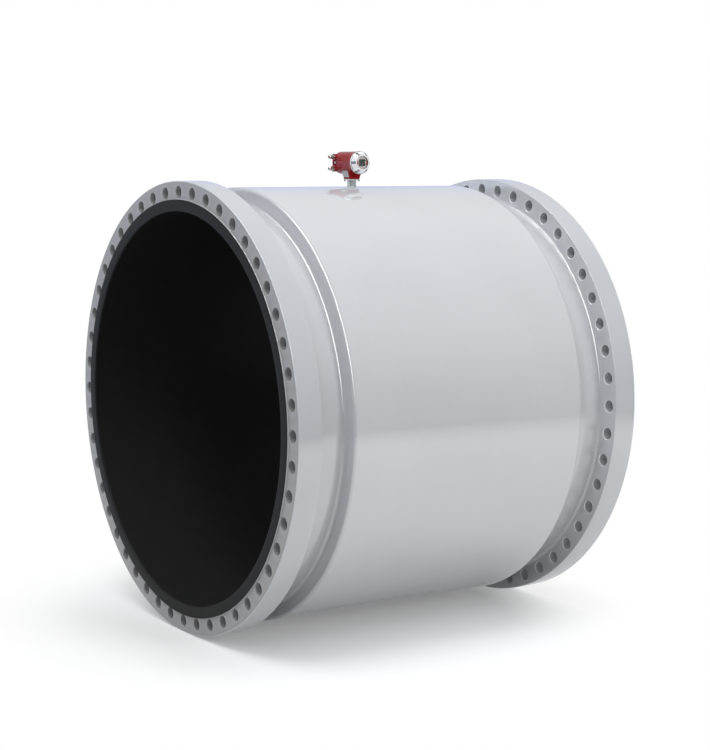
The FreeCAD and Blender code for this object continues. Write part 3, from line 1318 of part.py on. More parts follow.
# ---- all nodes --------------------------------------------------------------------------------
def main():
    os.makedirs("parts", exist_ok=True)

    outlet_flange = flange()
    export("outlet_flange", outlet_flange)
    export("inlet_flange", mirrored(outlet_flange, X_AXIS))
    export("measuring_tube", measuring_tube())
    export("liner", liner())

    outlet_end_plate = end_plate()
    export("outlet_end_plate", outlet_end_plate)
    export("inlet_end_plate", mirrored(outlet_end_plate, X_AXIS))
    export("housing_shell", housing_shell())

    upper_coil = field_coil()
    export("upper_field_coil", upper_coil)
    export("lower_field_coil", about_x(upper_coil, 180))
    upper_pole = pole_piece()
    export("upper_pole_piece", upper_pole)
    export("lower_pole_piece", about_x(upper_pole, 180))
    rear_yoke = return_yoke()
    export("rear_return_yoke", rear_yoke)
    export("front_return_yoke", mirrored(rear_yoke, Y_AXIS))
    export("coil_clamps", at_coil_clamps(coil_clamp()))
    export("coil_clamp_studs", at_coil_clamps(clamp_screw()))

    export("measuring_electrodes", both_electrodes(electrode()))
    export("electrode_bushes", both_electrodes(electrode_bush()))
    export("electrode_washers", both_electrodes(electrode_washer()))
    export("electrode_springs", both_electrodes(disc_spring()))
    export("electrode_nuts", both_electrodes(electrode_nut()))
    tag = electrode_tag()
    export("electrode_tags", both_electrodes(tag))
    export("signal_leads", signal_leads())
    export("coil_leads", coil_leads())

    export("stem_tube", stem_tube())
    export("stem_plate", stem_plate())
    export("stem_gasket", stem_gasket())
    export("stem_bolts", stem_bolts())

    export("converter_housing", converter_housing())
    export("gland_bodies", both_glands(gland_body()))
    export("gland_nuts", both_glands(gland_nut()))
    export("gland_seals", both_glands(gland_seal()))
    export("gland_plugs", both_glands(gland_plug()))
    export("earth_clamp", earth_clamp())
    export("earth_screw", earth_screw())
    export("nameplate", nameplate())
    export("nameplate_rivets", plate_rivets())

    export("front_cover", front_cover())
    export("front_cover_seal", front_cover_seal())
    export("window_gasket", window_gasket())
    export("window_glass", window_glass())
    export("window_ring", window_ring())
    export("rear_cover", rear_cover())
    export("rear_cover_seal", rear_cover_seal())

    export("display_bezel", display_bezel())
    export("display_side_fields", display_side_fields())
    export("display_screen", display_screen())
    export("display_board", display_board())
    export("electronics_frame", electronics_frame())
    export("power_board", circuit_board(POWER_BOARD_FROM_STEM))
    export("signal_board", circuit_board(SIGNAL_BOARD_FROM_STEM))
    export("partition_feedthrough", feedthrough())
    export("terminal_block", terminal_block())
    export("terminal_screws", terminal_screws())


main()
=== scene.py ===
import json
import math

import bmesh
import bpy
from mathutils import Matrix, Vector


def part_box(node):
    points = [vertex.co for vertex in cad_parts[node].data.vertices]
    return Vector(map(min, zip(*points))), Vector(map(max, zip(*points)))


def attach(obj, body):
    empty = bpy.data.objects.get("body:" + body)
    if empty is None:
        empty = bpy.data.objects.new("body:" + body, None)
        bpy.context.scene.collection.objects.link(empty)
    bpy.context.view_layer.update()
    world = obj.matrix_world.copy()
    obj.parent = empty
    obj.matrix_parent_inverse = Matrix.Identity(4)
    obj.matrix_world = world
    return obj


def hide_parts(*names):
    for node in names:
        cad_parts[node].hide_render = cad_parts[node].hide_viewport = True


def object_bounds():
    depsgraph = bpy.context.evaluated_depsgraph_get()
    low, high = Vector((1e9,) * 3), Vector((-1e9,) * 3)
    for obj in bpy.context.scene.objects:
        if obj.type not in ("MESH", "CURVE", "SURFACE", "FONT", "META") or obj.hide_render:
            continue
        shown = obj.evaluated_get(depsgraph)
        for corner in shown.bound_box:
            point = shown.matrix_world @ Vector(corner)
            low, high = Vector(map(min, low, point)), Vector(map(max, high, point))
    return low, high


bl_info = {
    "name": "Flow meter dressing",
    "version": (1, 0, 0),
    "blender": (4, 5, 0),
    "location": "3D View > Sidebar > Flow meter",
    "description": "Paints, welds, fasteners and display of a large electromagnetic flow meter",
    "category": "Object",
}

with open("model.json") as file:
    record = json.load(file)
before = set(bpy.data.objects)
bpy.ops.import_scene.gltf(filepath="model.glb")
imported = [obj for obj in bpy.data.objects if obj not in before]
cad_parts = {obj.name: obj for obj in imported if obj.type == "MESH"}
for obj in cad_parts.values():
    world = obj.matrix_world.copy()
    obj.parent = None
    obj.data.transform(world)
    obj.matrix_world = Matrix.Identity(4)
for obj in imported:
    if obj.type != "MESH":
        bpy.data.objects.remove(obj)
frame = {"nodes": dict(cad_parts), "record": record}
CAD_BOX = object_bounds()

FLANGE_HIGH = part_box("outlet_flange")[1]
SHELL_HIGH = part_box("housing_shell")[1]
TUBE_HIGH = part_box("measuring_tube")[1]
LINER_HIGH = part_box("liner")[1]
STEM_LOW, STEM_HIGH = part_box("stem_tube")
SCREEN_LOW, SCREEN_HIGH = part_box("display_screen")
FLOOR_Z = CAD_BOX[0].z

# Sizes in metres, where nothing else is said.
TURN_STEPS = 384  # chords round the bore
SHELL_THICKNESS = 0.010
EDGE_STEPS = 5  # chords in a rounded edge of the flanges
SEAT_EDGE = 0.001  # rounding of the raised face, and broken edge of the flange's bore
SEAT_FOOT = 0.0015  # fillet at the foot of the raised face
SEAT_FOOT_MIDDLE = 0.0004  # how far the middle of that fillet is from its corner
BARE_WALL = 0.35  # share of a bolt hole that has no paint, from the bolting face
LINER_EDGE = 0.001
WELD_SECTION = 8  # chords across a bead
WELD_ROOT = 0.1  # how deep a bead sits in its corner, as a share of its leg
WELD_UNEVEN = 0.3  # how much the height of the ripples varies
WELD_CROWN = -0.2  # of the tube's welds, which are hollow
STEM_WELD_CROWN = 0.1
STEM_WELD_SINK = 0.0006  # the shell is curved under the stem
WELD_SHARP = 75  # degrees
FINE_SHARP = 20  # degrees, of rules and digits
PLATE_ROWS = 4
PLATE_RULE_HEIGHT = 0.4  # as a share of its width
SINK = 0.00002  # how far raised lines go into what carries them
GLAND_STEPS = 96
GLAND_SHARP = 25  # degrees
GLAND_SEAT_R = 0.01
SPIGOT_LENGTH = 0.013
SPIGOT_CHAMFER = 0.0006
GLAND_PITCH = 0.0015
GLAND_THREAD_DEPTH = 0.0007
DIGIT_HEIGHT = 0.00008
DIGIT_FILL = 0.62  # width of a digit, of the place it has
STROKE = 0.055  # half the width of a stroke, of the digit's height
STROKE_GAP = 0.25  # between two strokes, of that half width
ROW_REACH = 0.72  # how far the rows reach, of the screen's half height
NUMBER_MARGIN = 1.6  # beside the numbers, in widths of the dark edge
BAR_MARGIN = 1.8
BAR_HALF = (0.0007, 0.0016)
GREY = (0.5, 0.5, 0.5, 1.0)
WHITE = (1.0, 1.0, 1.0, 1.0)


# ---- mesh work ----
def rounded(corners, steps=4):
    """Closed outline through (along, out, rounding) corners, rounded with short chords."""
    points = []
    for i, corner in enumerate(corners):
        here = Vector(corner[:2])
        if len(corner) < 3:
            points.append(here)
            continue
        back = (Vector(corners[i - 1][:2]) - here).normalized()
        on = (Vector(corners[(i + 1) % len(corners)][:2]) - here).normalized()
        half = back.angle(on) / 2
        centre = here + (back + on).normalized() * corner[2] / math.sin(half)
        start = here + back * corner[2] / math.tan(half) - centre
        end = here + on * corner[2] / math.tan(half) - centre
        sweep = start.angle(end)
        for k in range(steps + 1):
            part = sweep * k / steps
            arc = start * math.sin(sweep - part) + end * math.sin(part)
            points.append(centre + arc / math.sin(sweep))
    return points


def about_flow(along, out, angle):
    """Point of a piece turned about the flow's axis."""
    return Vector((along, out * math.sin(angle), out * math.cos(angle)))


def about_stem(along, out, angle):
    """Point of a piece turned about the stem."""
    centre = (STEM_LOW + STEM_HIGH) / 2
    return Vector((centre.x + out * math.cos(angle), centre.y + out * math.sin(angle), along))


def ring_of(bm, along, out, place, steps):
    return [bm.verts.new(place(along, out, 2 * math.pi * k / steps)) for k in range(steps)]


def hexed(place, flats, low, high):
    """The same place, kept inside a hexagon between two stations of the axis."""

    def inside(along, out, angle):
        if low <= along <= high:
            out = min(out, flats / 2 / math.cos(angle % (math.pi / 3) - math.pi / 6))
        return place(along, out, angle)

    return inside


def thread(low, high, crest, pitch, depth):
    """Outline of a screw thread between two stations, its flanks at 60 degrees."""
    count = max(1, round((high - low) / pitch))
    pitch = (high - low) / count
    points = []
    for i in range(count):
        for share, sunk in ((0.05, depth), (0.4, 0), (0.6, 0), (0.95, depth)):
            points.append(Vector((low + i * pitch + pitch * share, crest - sunk)))
    return points


def bridge(bm, first, second):
    """Quads between two closed loops of as many vertices."""
    for k, vertex in enumerate(first):
        after = (k + 1) % len(first)
        bm.faces.new((vertex, first[after], second[after], second[k]))


def bridge_rows(bm, rows, closed=False):
    """Quads between each loop and the next, and back to the first if closed."""
    for first, second in zip(rows, rows[1:] + rows[: int(closed)]):
        bridge(bm, first, second)


def turned(bm, outline, place, steps):
    """Ring turned from a closed outline."""
    bridge_rows(bm, [ring_of(bm, p.x, p.y, place, steps) for p in outline], True)


def finished(name, bm, body, slot, sharp=32, look=None):
    """The object of a mesh: smooth, with its real edges kept sharp, on its body.

    It looks like its slot, or like another finish that the slot's colour stands for.
    """
    bmesh.ops.recalc_face_normals(bm, faces=bm.faces)
    mesh = bpy.data.meshes.new(name)
    bm.to_mesh(mesh)
    bm.free()
    mesh.shade_smooth()
    mesh.set_sharp_from_angle(angle=math.radians(sharp))
    mesh.materials.append(finish(look or slot))
    piece = bpy.data.objects.new(name, mesh)
    bpy.context.scene.collection.objects.link(piece)
    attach(piece, body)
    return piece


def fillet_weld(bm, corner, root, leg, crown, place, ripples, lift):
    """Fillet weld run round an axis, with the fine ripples that the run leaves.

    The bead lies between a face at corner and a round wall of radius root. The leg is negative
    where the face looks back along the axis, and a hollow bead has a negative crown.
    """
    steps = ripples * 4
    size = abs(leg)
    loops = []
    for k in range(steps):
        angle = 2 * math.pi * k / steps
        uneven = 1 + WELD_UNEVEN * math.sin(angle * 23) * math.sin(angle * 5)
        wave = lift * (0.5 + 0.5 * math.cos(math.pi * k / 2)) * uneven
        inner = place(corner - leg * WELD_ROOT, root - size * WELD_ROOT, angle)
        loop = [bm.verts.new(inner)]
        for i in range(WELD_SECTION + 1):
            part = i / WELD_SECTION
            proud = math.sin(math.pi * part) * (crown * size + wave)
            along = leg * (part + proud / size)
            out = root + size * (1 - part) + proud
            loop.append(bm.verts.new(place(corner + along, out, angle)))
        loops.append(loop)
    bridge_rows(bm, loops, True)


def flange_face(bm, place, along, inner, outer, holes, count):
    """Flat face between two loops, with a ring of vertices left open at each bolt hole.

    The loops have eight vertices for each hole, and holes is (circle's radius, hole's radius).
    Returns the open rings.
    """
    per = len(inner) // count
    circle_r, hole_r = holes
    inner_r = math.hypot(inner[0].co.y, inner[0].co.z)
    outer_r = math.hypot(outer[0].co.y, outer[0].co.z)
    spokes = []
    for i in range(count):
        k = (i * per + per // 2) % len(inner)
        angle = 2 * math.pi * k / len(inner)
        radii = [inner_r + (outer_r - inner_r) * j / per for j in range(1, per)]
        spokes.append([inner[k], *[bm.verts.new(place(along, r, angle)) for r in radii], outer[k]])
    rings = []
    for i in range(count):
        start = (i - 1) * per + per // 2
        low = [inner[(start + j) % len(inner)] for j in range(per + 1)]
        high = [outer[(start + j) % len(outer)] for j in range(per + 1)]
        before = spokes[(i - 1) % count]
        after = spokes[i]
        frame_loop = low[:-1] + after[:-1] + high[:0:-1] + before[:0:-1]
        angle = 2 * math.pi * i / count
        centre = place(along, circle_r, angle)
        out = (place(along, 1.0, angle) - place(along, 0.0, angle)).normalized()
        beside = angle + math.pi / 2
        across = (place(along, 1.0, beside) - place(along, 0.0, 0)).normalized()
        ring = []
        for j in range(len(frame_loop)):
            turn = 2 * math.pi * j / len(frame_loop) - 0.75 * math.pi
            offset = hole_r * (math.sin(turn) * out + math.cos(turn) * across)
            ring.append(bm.verts.new(centre + offset))
        bridge(bm, frame_loop, ring)
        rings.append(ring)
    return rings


# ---- shader nodes ----
def node(tree, kind, links=(), **values):
    """New node; values are its settings, and links are (socket name or number, source) pairs."""
    made = tree.nodes.new(kind)
    for key, value in values.items():
        setattr(made, key, value)
    for socket, source in links:
        if isinstance(source, bpy.types.NodeSocket):
            tree.links.new(source, made.inputs[socket])
        else:
            made.inputs[socket].default_value = source
    return made


def calc(tree, operation, *values):
    """Result of a sum on one or two values."""
    return node(tree, "ShaderNodeMath", enumerate(values), operation=operation).outputs[0]


def times(tree, product, *others):
    """Product of two or more values."""
    for other in others:
        product = calc(tree, "MULTIPLY", product, other)
    return product


def vector_calc(tree, operation, *values):
    """Result of a sum on one or two vectors; a length is a value."""
    made = node(tree, "ShaderNodeVectorMath", enumerate(values), operation=operation)
    return made.outputs["Value" if operation == "LENGTH" else "Vector"]


def spread(tree, source, low, high, to_low=0.0, to_high=1.0, **values):
    """Value of source stretched from one range to another."""
    ends = enumerate((source, low, high, to_low, to_high))
    return node(tree, "ShaderNodeMapRange", ends, **values).outputs[0]


def swing(tree, noise, to_low, to_high):
    """Range that a noise really fills, stretched to another."""
    return spread(tree, noise, 0.3, 0.7, to_low, to_high)


def mixed(tree, factor, first, second):
    """Colour mixed by factor."""
    links = [(0, factor), (6, first), (7, second)]
    return node(tree, "ShaderNodeMix", links, data_type="RGBA").outputs[2]


def noise_at(tree, place, scale, detail, *links):
    """Value of a noise at a place."""
    links = [("Vector", place), ("Scale", scale), ("Detail", detail), *links]
    return node(tree, "ShaderNodeTexNoise", links).outputs[0]


def scaled(tree, colour, shade):
    """Colour made lighter or darker by shade."""
    links = [(0, colour), ("Scale", shade)]
    return node(tree, "ShaderNodeVectorMath", links, operation="SCALE").outputs[0]


def drifting(tree, given, noise, amount):
    """The given colour, drifting to both sides by the given amount of a noise."""
    change = times(tree, swing(tree, noise, -1.0, 1.0), given[amount])
    return scaled(tree, given["Color"], calc(tree, "ADD", change, 1.0))


# ---- shared surface effects ----
def shared_effect(inputs, *outputs):
    """Makes a function into a shader node group with named sockets, built once.

    The function gets the group's tree, its inputs and the place on the surface, and returns the
    source of each output.
    """
    kinds = {float: "NodeSocketFloat", tuple: "NodeSocketColor", Vector: "NodeSocketVector"}

    def declare(build):
        def group():
            name = build.__name__
            if name in bpy.data.node_groups:
                return bpy.data.node_groups[name]
            tree = bpy.data.node_groups.new(name, "ShaderNodeTree")
            new_socket = tree.interface.new_socket
            for label, default in inputs.items():
                socket = new_socket(label, in_out="INPUT", socket_type=kinds[type(default)])
                socket.default_value = default
            for label in outputs:
                kind = kinds[tuple if label == "Color" else float]
                new_socket(label, in_out="OUTPUT", socket_type=kind)
            given = node(tree, "NodeGroupInput").outputs
            place = node(tree, "ShaderNodeTexCoord").outputs["Object"]
            node(tree, "NodeGroupOutput", zip(outputs, build(tree, given, place)))
            return tree

        return group

    return declare


@shared_effect(
    {"Color": GREY, "Drift": 0.03, "Gloss": 0.1, "Peel Scale": 260.0},
    "Color", "Roughness", "Height",
)
def paint_skin(tree, given, place):
    """Sprayed paint: soft colour drift, gloss that varies a little, and the peel of its skin."""
    uneven = swing(tree, noise_at(tree, place, 21.0, 4.0), 0.75, 1.3)
    return (
        drifting(tree, given, noise_at(tree, place, 2.3, 3.0), "Drift"),
        times(tree, given["Gloss"], uneven),
        noise_at(tree, place, given["Peel Scale"], 1.5),
    )


@shared_effect(
    {"Color": GREY, "Worn Color": (0.7, 0.7, 0.7, 1.0), "Amount": 0.3, "Grain": 400.0},
    "Color", "Mask",
)
def edge_wear(tree, given, place):
    """Lighter colour along the convex edges, broken up by noise: partly real wear, thin paint on
    painted parts and bright metal on bare ones, and partly a painted highlight.
    """
    edge = node(tree, "ShaderNodeNewGeometry").outputs["Pointiness"]
    raised = spread(tree, edge, 0.52, 0.62)
    broken = spread(tree, noise_at(tree, place, given["Grain"], 4.0), 0.35, 0.6, 0.35, 1.0)
    mask = times(tree, raised, broken, given["Amount"])
    return mixed(tree, mask, given["Color"], given["Worn Color"]), mask


@shared_effect(
    {"Color": GREY, "Dust Color": (0.62, 0.6, 0.56, 1.0), "Amount": 0.1},
    "Color", "Mask",
)
def settled_dust(tree, given, place):
    """Thin dust on faces that look up, thicker in patches."""
    normal = node(tree, "ShaderNodeNewGeometry").outputs["Normal"]
    up = node(tree, "ShaderNodeSeparateXYZ", [(0, normal)]).outputs["Z"]
    flat = spread(tree, up, 0.55, 1.0)
    cover = spread(tree, noise_at(tree, place, 9.0, 5.0), 0.35, 0.7, 0.2, 1.0)
    mask = times(tree, flat, cover, given["Amount"])
    return mixed(tree, mask, given["Color"], given["Dust Color"]), mask


@shared_effect(
    {"Color": GREY, "Variation": 0.1, "Scale": 900.0, "Roughness": 0.5},
    "Color", "Roughness", "Height",
)
def surface_grain(tree, given, place):
    """Grain of a casting, a moulding or a rubber sheet, with the small spots of its colour."""
    fine = noise_at(tree, place, given["Scale"], 6.0, ("Roughness", 0.6))
    links = [("Vector", place), ("Scale", given["Scale"])]
    cells = node(tree, "ShaderNodeTexVoronoi", links).outputs[0]
    return (
        drifting(tree, given, noise_at(tree, place, 14.0, 3.0), "Variation"),
        times(tree, given["Roughness"], swing(tree, fine, 0.85, 1.15)),
        calc(tree, "ADD", fine, cells),
    )


@shared_effect(
    {"Color": GREY, "Across X": 60.0, "Across Y": 900.0, "Across Z": 60.0, "Roughness": 0.25},
    "Color", "Roughness", "Height",
)
def tool_marks(tree, given, place):
    """Brushed or turned metal: fine lines, by how much each axis is stretched."""
    links = [(axis, given["Across " + axis]) for axis in "XYZ"]
    stretch = node(tree, "ShaderNodeCombineXYZ", links).outputs[0]
    laid = vector_calc(tree, "MULTIPLY", place, stretch)
    lines = noise_at(tree, laid, 1.0, 5.0)
    return (
        scaled(tree, given["Color"], swing(tree, lines, 0.9, 1.08)),
        times(tree, given["Roughness"], swing(tree, lines, 0.75, 1.3)),
        lines,
    )


@shared_effect(
    {
        "Color": GREY, "Across": Vector((0, 1, 1)), "Centre": Vector((0, 0, 0)),
        "Rings": 500.0, "Roughness": 0.3, "Contrast": 0.08,
    },
    "Color", "Roughness", "Height",
)
def turning_rings(tree, given, place):
    """Faces turned on a lathe: fine rings round the axis through a centre."""
    offset = vector_calc(tree, "SUBTRACT", place, given["Centre"])
    radius = vector_calc(tree, "LENGTH", vector_calc(tree, "MULTIPLY", offset, given["Across"]))
    turns = times(tree, radius, given["Rings"])
    links = [("W", turns), ("Scale", 1.0), ("Detail", 4.0)]
    lines = node(tree, "ShaderNodeTexNoise", links, noise_dimensions="1D").outputs[0]
    return (
        drifting(tree, given, lines, "Contrast"),
        times(tree, given["Roughness"], swing(tree, lines, 0.8, 1.25)),
        lines,
    )


SLOT_DEPTHS = (0.0008, 0.0024)  # under the cone, where a grip slot starts and is full
FACE_DEPTHS = (0.0002, 0.0006)  # the same behind the cover's face
STEP_BEFORE = (0.0, 0.0005)  # where the slots end
STEP_REACH = (0.0016, 0.0006)  # to both sides of the step


@shared_effect(
    {
        "Axis X": 0.0, "Axis Z": 0.0, "Face Y": 0.0,
        "Face Radius": 0.1, "Cone Length": 0.1, "Cone Radius": 0.1,
    },
    "Slots", "Step",
)
def grip_recess(tree, given, place):
    """Masks of what lies below the front cover's cone: its grip slots, and the step behind it."""
    at = node(tree, "ShaderNodeSeparateXYZ", [(0, place)]).outputs
    across = calc(tree, "SUBTRACT", at["X"], given["Axis X"])
    up = calc(tree, "SUBTRACT", at["Z"], given["Axis Z"])
    back = calc(tree, "SUBTRACT", at["Y"], given["Face Y"])
    flat = node(tree, "ShaderNodeCombineXYZ", [(0, across), (1, up)]).outputs[0]
    radii = given["Face Radius"], given["Cone Radius"]
    cone = spread(tree, back, 0.0, given["Cone Length"], *radii, clamp=False)
    below = calc(tree, "SUBTRACT", cone, vector_calc(tree, "LENGTH", flat))
    deep = spread(tree, below, *SLOT_DEPTHS)
    behind_face = spread(tree, back, *FACE_DEPTHS)
    to_step = calc(tree, "SUBTRACT", back, given["Cone Length"])
    ahead = spread(tree, to_step, *STEP_BEFORE, 1.0, 0.0)
    slots = times(tree, deep, behind_face, ahead)
    off = calc(tree, "ABSOLUTE", to_step)
    return slots, spread(tree, off, *STEP_REACH)


# ---- finishes ----
def fresh_tree(owner):
    """Empty node tree of a material or a world."""
    owner.use_nodes = True
    owner.node_tree.nodes.clear()
    return owner.node_tree


def new_finish(name, metallic=0.0, ior=1.5):
    """Node tree and Principled shader of a new material."""
    material = bpy.data.materials.new(name)
    tree = fresh_tree(material)
    shader = node(tree, "ShaderNodeBsdfPrincipled", [("Metallic", metallic), ("IOR", ior)])
    node(tree, "ShaderNodeOutputMaterial", [("Surface", shader.outputs[0])])
    return tree, shader


def effect(tree, group, **values):
    """Outputs of a shared effect placed in a material with its own values."""
    placed = node(tree, "ShaderNodeGroup", node_tree=group())
    for key, value in values.items():
        socket = placed.inputs[key.replace("_", " ")]
        if isinstance(value, bpy.types.NodeSocket):
            tree.links.new(value, socket)
        else:
            socket.default_value = (*value, 1.0) if isinstance(value, tuple) else value
    return placed.outputs


def feed(tree, shader, colour, roughness, height=None, depth=0.0):
    """Links a finish to its shader, with a bump of depth metres."""
    tree.links.new(colour, shader.inputs["Base Color"])
    tree.links.new(roughness, shader.inputs["Roughness"])
    if height:
        links = [("Height", height), ("Distance", depth), ("Strength", 1.0)]
        bump = node(tree, "ShaderNodeBump", links)
        tree.links.new(bump.outputs[0], shader.inputs["Normal"])


def painted(name, colour, gloss, peel, depth, worn, wear=0.3, dust=0.0, ior=1.5, metallic=0.0):
    """Sprayed and baked paint."""
    tree, shader = new_finish(name, metallic, ior)
    skin = effect(tree, paint_skin, Color=colour, Gloss=gloss, Peel_Scale=peel)
    edges = effect(tree, edge_wear, Color=skin["Color"], Worn_Color=worn, Amount=wear)
    dusty = effect(tree, settled_dust, Color=edges["Color"], Amount=dust)
    feed(tree, shader, dusty["Color"], skin["Roughness"], skin["Height"], depth)


COVER_METAL = (0.15, 0.8)  # how metallic the cover's paint and its slots are


def gripped_cover(name, colour, gloss, peel, depth, worn, step, slots):
    """Silver paint of the front cover. Its step gets a darker grey as painted shade, and its grip
    slots get a darker grey as painted shade on a more metallic finish.
    """
    tree, shader = new_finish(name)
    low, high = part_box("front_cover")
    sizes = bpy.context.scene.meter_converter
    recess = effect(
        tree,
        grip_recess,
        Axis_X=(low.x + high.x) / 2,
        Axis_Z=(low.z + high.z) / 2,
        Face_Y=low.y,
        Face_Radius=sizes.cover_face,
        Cone_Length=sizes.cover_cone,
        Cone_Radius=(high.x - low.x) / 2 - sizes.cover_step,
    )
    skin = effect(tree, paint_skin, Color=colour, Gloss=gloss, Peel_Scale=peel)
    edges = effect(tree, edge_wear, Color=skin["Color"], Worn_Color=worn, Amount=0.3)
    # Painted shade: the step is mixed to one darker grey, and the grip slots to another.
    step_shaded = mixed(tree, recess["Step"], edges["Color"], step)
    slots_shaded = mixed(tree, recess["Slots"], step_shaded, slots)
    feed(tree, shader, slots_shaded, skin["Roughness"], skin["Height"], depth)
    bare = spread(tree, recess["Slots"], 0.0, 1.0, *COVER_METAL)
    tree.links.new(bare, shader.inputs["Metallic"])


def turned_face(name, colour, roughness, rings, depth, worn):
    """Lathe-turned steel face under a thin dull primer."""
    tree, shader = new_finish(name)
    lines = effect(tree, turning_rings, Color=colour, Roughness=roughness, Rings=rings)
    edges = effect(tree, edge_wear, Color=lines["Color"], Worn_Color=worn, Amount=0.5)
    feed(tree, shader, edges["Color"], lines["Roughness"], lines["Height"], depth)


def moulded(name, colour, roughness, scale, depth, variation=0.08, ior=1.5):
    """Rubber, plastic or varnished winding."""
    tree, shader = new_finish(name, ior=ior)
    values = {"Scale": scale, "Roughness": roughness, "Variation": variation}
    grain = effect(tree, surface_grain, Color=colour, **values)
    feed(tree, shader, grain["Color"], grain["Roughness"], grain["Height"], depth)


def machined(name, colour, roughness, across, depth, worn=(0.9, 0.9, 0.9), wear=0.3):
    """Bare or plated metal with the marks of the tool."""
    tree, shader = new_finish(name, metallic=1.0)
    stretch = {"Across_" + axis: value for axis, value in zip("XYZ", across)}
    marks = effect(tree, tool_marks, Color=colour, Roughness=roughness, **stretch)
    edges = effect(tree, edge_wear, Color=marks["Color"], Worn_Color=worn, Amount=wear)
    feed(tree, shader, edges["Color"], marks["Roughness"], marks["Height"], depth)


def clear_glass(name, colour, roughness, scale):
    """Window glass with a little grease on it."""
    tree, shader = new_finish(name, ior=1.3)
    shader.inputs["Transmission Weight"].default_value = 1.0
    values = {"Scale": scale, "Roughness": roughness, "Variation": 0.02}
    grain = effect(tree, surface_grain, Color=colour, **values)
    feed(tree, shader, grain["Color"], grain["Roughness"])


# Maker of each finish, its colour or the setting that holds it, and the maker's other values in
# their order. Depths are in metres. A dictionary at the end holds what isn't the usual value.
FINISHES = {
    # The lighter edge colours in these values are partly wear and partly painted highlight.
    "grey_paint": (
        painted, "grey", 0.014, 120, 4e-6, (0.75, 0.76, 0.78), {"dust": 0.03, "ior": 2.15},
    ),
    # Lighter paint on the back chamfers of the bolt holes, a painted highlight.
    "rubbed_edge": (
        painted, (0.86, 0.87, 0.89), 0.2, 300, 4e-6, (0.9, 0.9, 0.9), {"ior": 2.15},
    ),
    "plate_paint": (
        painted, "plate", 0.2, 600, 1e-5, (0.8, 0.8, 0.8), {"wear": 0.4, "dust": 0.05},
    ),
    "red_paint": (
        painted, "red", 0.09, 420, 3e-5, (0.5, 0.05, 0.05),
        {"wear": 0.4, "dust": 0.01, "ior": 1.36},
    ),
    "plate_metal": (
        painted, (0.43, 0.45, 0.44), 0.42, 900, 6e-6, (0.7, 0.7, 0.7), {"metallic": 0.3},
    ),
    # The two greys at the end of the cover's values are painted shade, on its step and in its grip
    # slots.
    "silver_paint": (
        gripped_cover, "silver", 0.22, 700, 8e-6, (0.97, 0.97, 0.97),
        (0.3, 0.3, 0.31, 1.0), (0.34, 0.34, 0.35, 1.0), {},
    ),
    "bolting_face": (turned_face, "bolting_face", 0.34, 420, 4e-5, (0.7, 0.7, 0.7), {}),
    "liner_rubber": (moulded, (0.0105, 0.0105, 0.0105), 0.5, 500, 5e-5, {"ior": 1.2}),
    "seal_rubber": (moulded, (0.02, 0.02, 0.02), 0.55, 2500, 1e-5, {}),
    "black_plastic": (moulded, (0.025, 0.025, 0.028), 0.4, 1800, 2e-5, {}),
    "bush_plastic": (moulded, (0.75, 0.72, 0.64), 0.35, 1500, 1e-5, {}),
    "lead_sheath": (moulded, (0.05, 0.06, 0.08), 0.45, 1200, 3e-5, {}),
    "winding": (moulded, (0.32, 0.12, 0.04), 0.35, 700, 2e-4, 0.2, {}),
    "board": (moulded, (0.02, 0.14, 0.06), 0.35, 1600, 2e-5, 0.15, {}),
    "display_face": (moulded, "display_face", 0.45, 2600, 5e-6, 0.03, {}),
    "display_red": (moulded, "display_red", 0.45, 2600, 5e-6, 0.05, {}),
    "screen": (moulded, (0.014, 0.019, 0.014), 0.25, 3200, 2e-6, 0.1, {}),
    "digits": (moulded, (0.05, 0.062, 0.05), 0.3, 3200, 2e-6, 0.05, {}),
    "unlit_digits": (moulded, (0.022, 0.029, 0.022), 0.3, 3200, 2e-6, 0.05, {}),
    # Near-black: the electrodes sit in the bore's shade, and this dark colour is painted shade.
    "electrode": (
        machined, (0.05, 0.05, 0.052), 0.5, (300, 300, 300), 2e-5, {"wear": 0.0},
    ),
    "nickel": (machined, (0.66, 0.64, 0.6), 0.16, (900, 70, 70), 1e-5, {}),
    "stainless": (machined, (0.6, 0.6, 0.6), 0.25, (60, 60, 700), 1e-5, {}),
    "dark_steel": (
        machined, (0.035, 0.033, 0.032), 0.4, (300, 300, 300), 2e-5, (0.3, 0.3, 0.3), {},
    ),
    "magnet_steel": (machined, (0.3, 0.3, 0.32), 0.4, (20, 200, 200), 3e-5, {}),
    "brass": (machined, (0.75, 0.55, 0.22), 0.22, (600, 60, 60), 1e-5, {}),
    "plate_rules": (
        machined, (0.16, 0.165, 0.17), 0.4, (300, 300, 300), 4e-6, {"wear": 0.0},
    ),
    "window": (clear_glass, (0.96, 0.98, 0.97), 0.02, 60, {}),
}


def finish(slot):
    """The material of one of the record's slots, made when it is first asked for."""
    name = "finish_" + slot
    if slot not in FINISHES:
        raise RuntimeError("no finish is written for the slot " + slot)
    if name not in bpy.data.materials:
        maker, colour, *values, unusual = FINISHES[slot]
        if isinstance(colour, str):
            colour = tuple(getattr(bpy.context.scene.meter_finishes, colour))
        maker(name, colour, *values, **unusual)
    return bpy.data.materials[name]


def dress(*nodes):
    """Gives CAD nodes the material of their slot."""
    slots = {part["node"]: part["material_slot"] for part in frame["record"]["subparts"]}
    for name in nodes:
        mesh = frame["nodes"][name].data
        mesh.materials.clear()
        mesh.materials.append(finish(slots[name]))


# ---- settings ----
def tint(name, description, default):
    return bpy.props.FloatVectorProperty(
        name=name, description=description, subtype="COLOR", size=3, min=0, max=1, default=default,
    )


def metres(name, description, default):
    return bpy.props.FloatProperty(
        name=name, description=description, unit="LENGTH", default=default,
    )


def spot(name, description, default):
    return bpy.props.FloatVectorProperty(
        name=name, description=description, subtype="TRANSLATION", unit="LENGTH", size=3,
        default=default,
    )


def whole(name, description, default):
    return bpy.props.IntProperty(name=name, description=description, default=default)


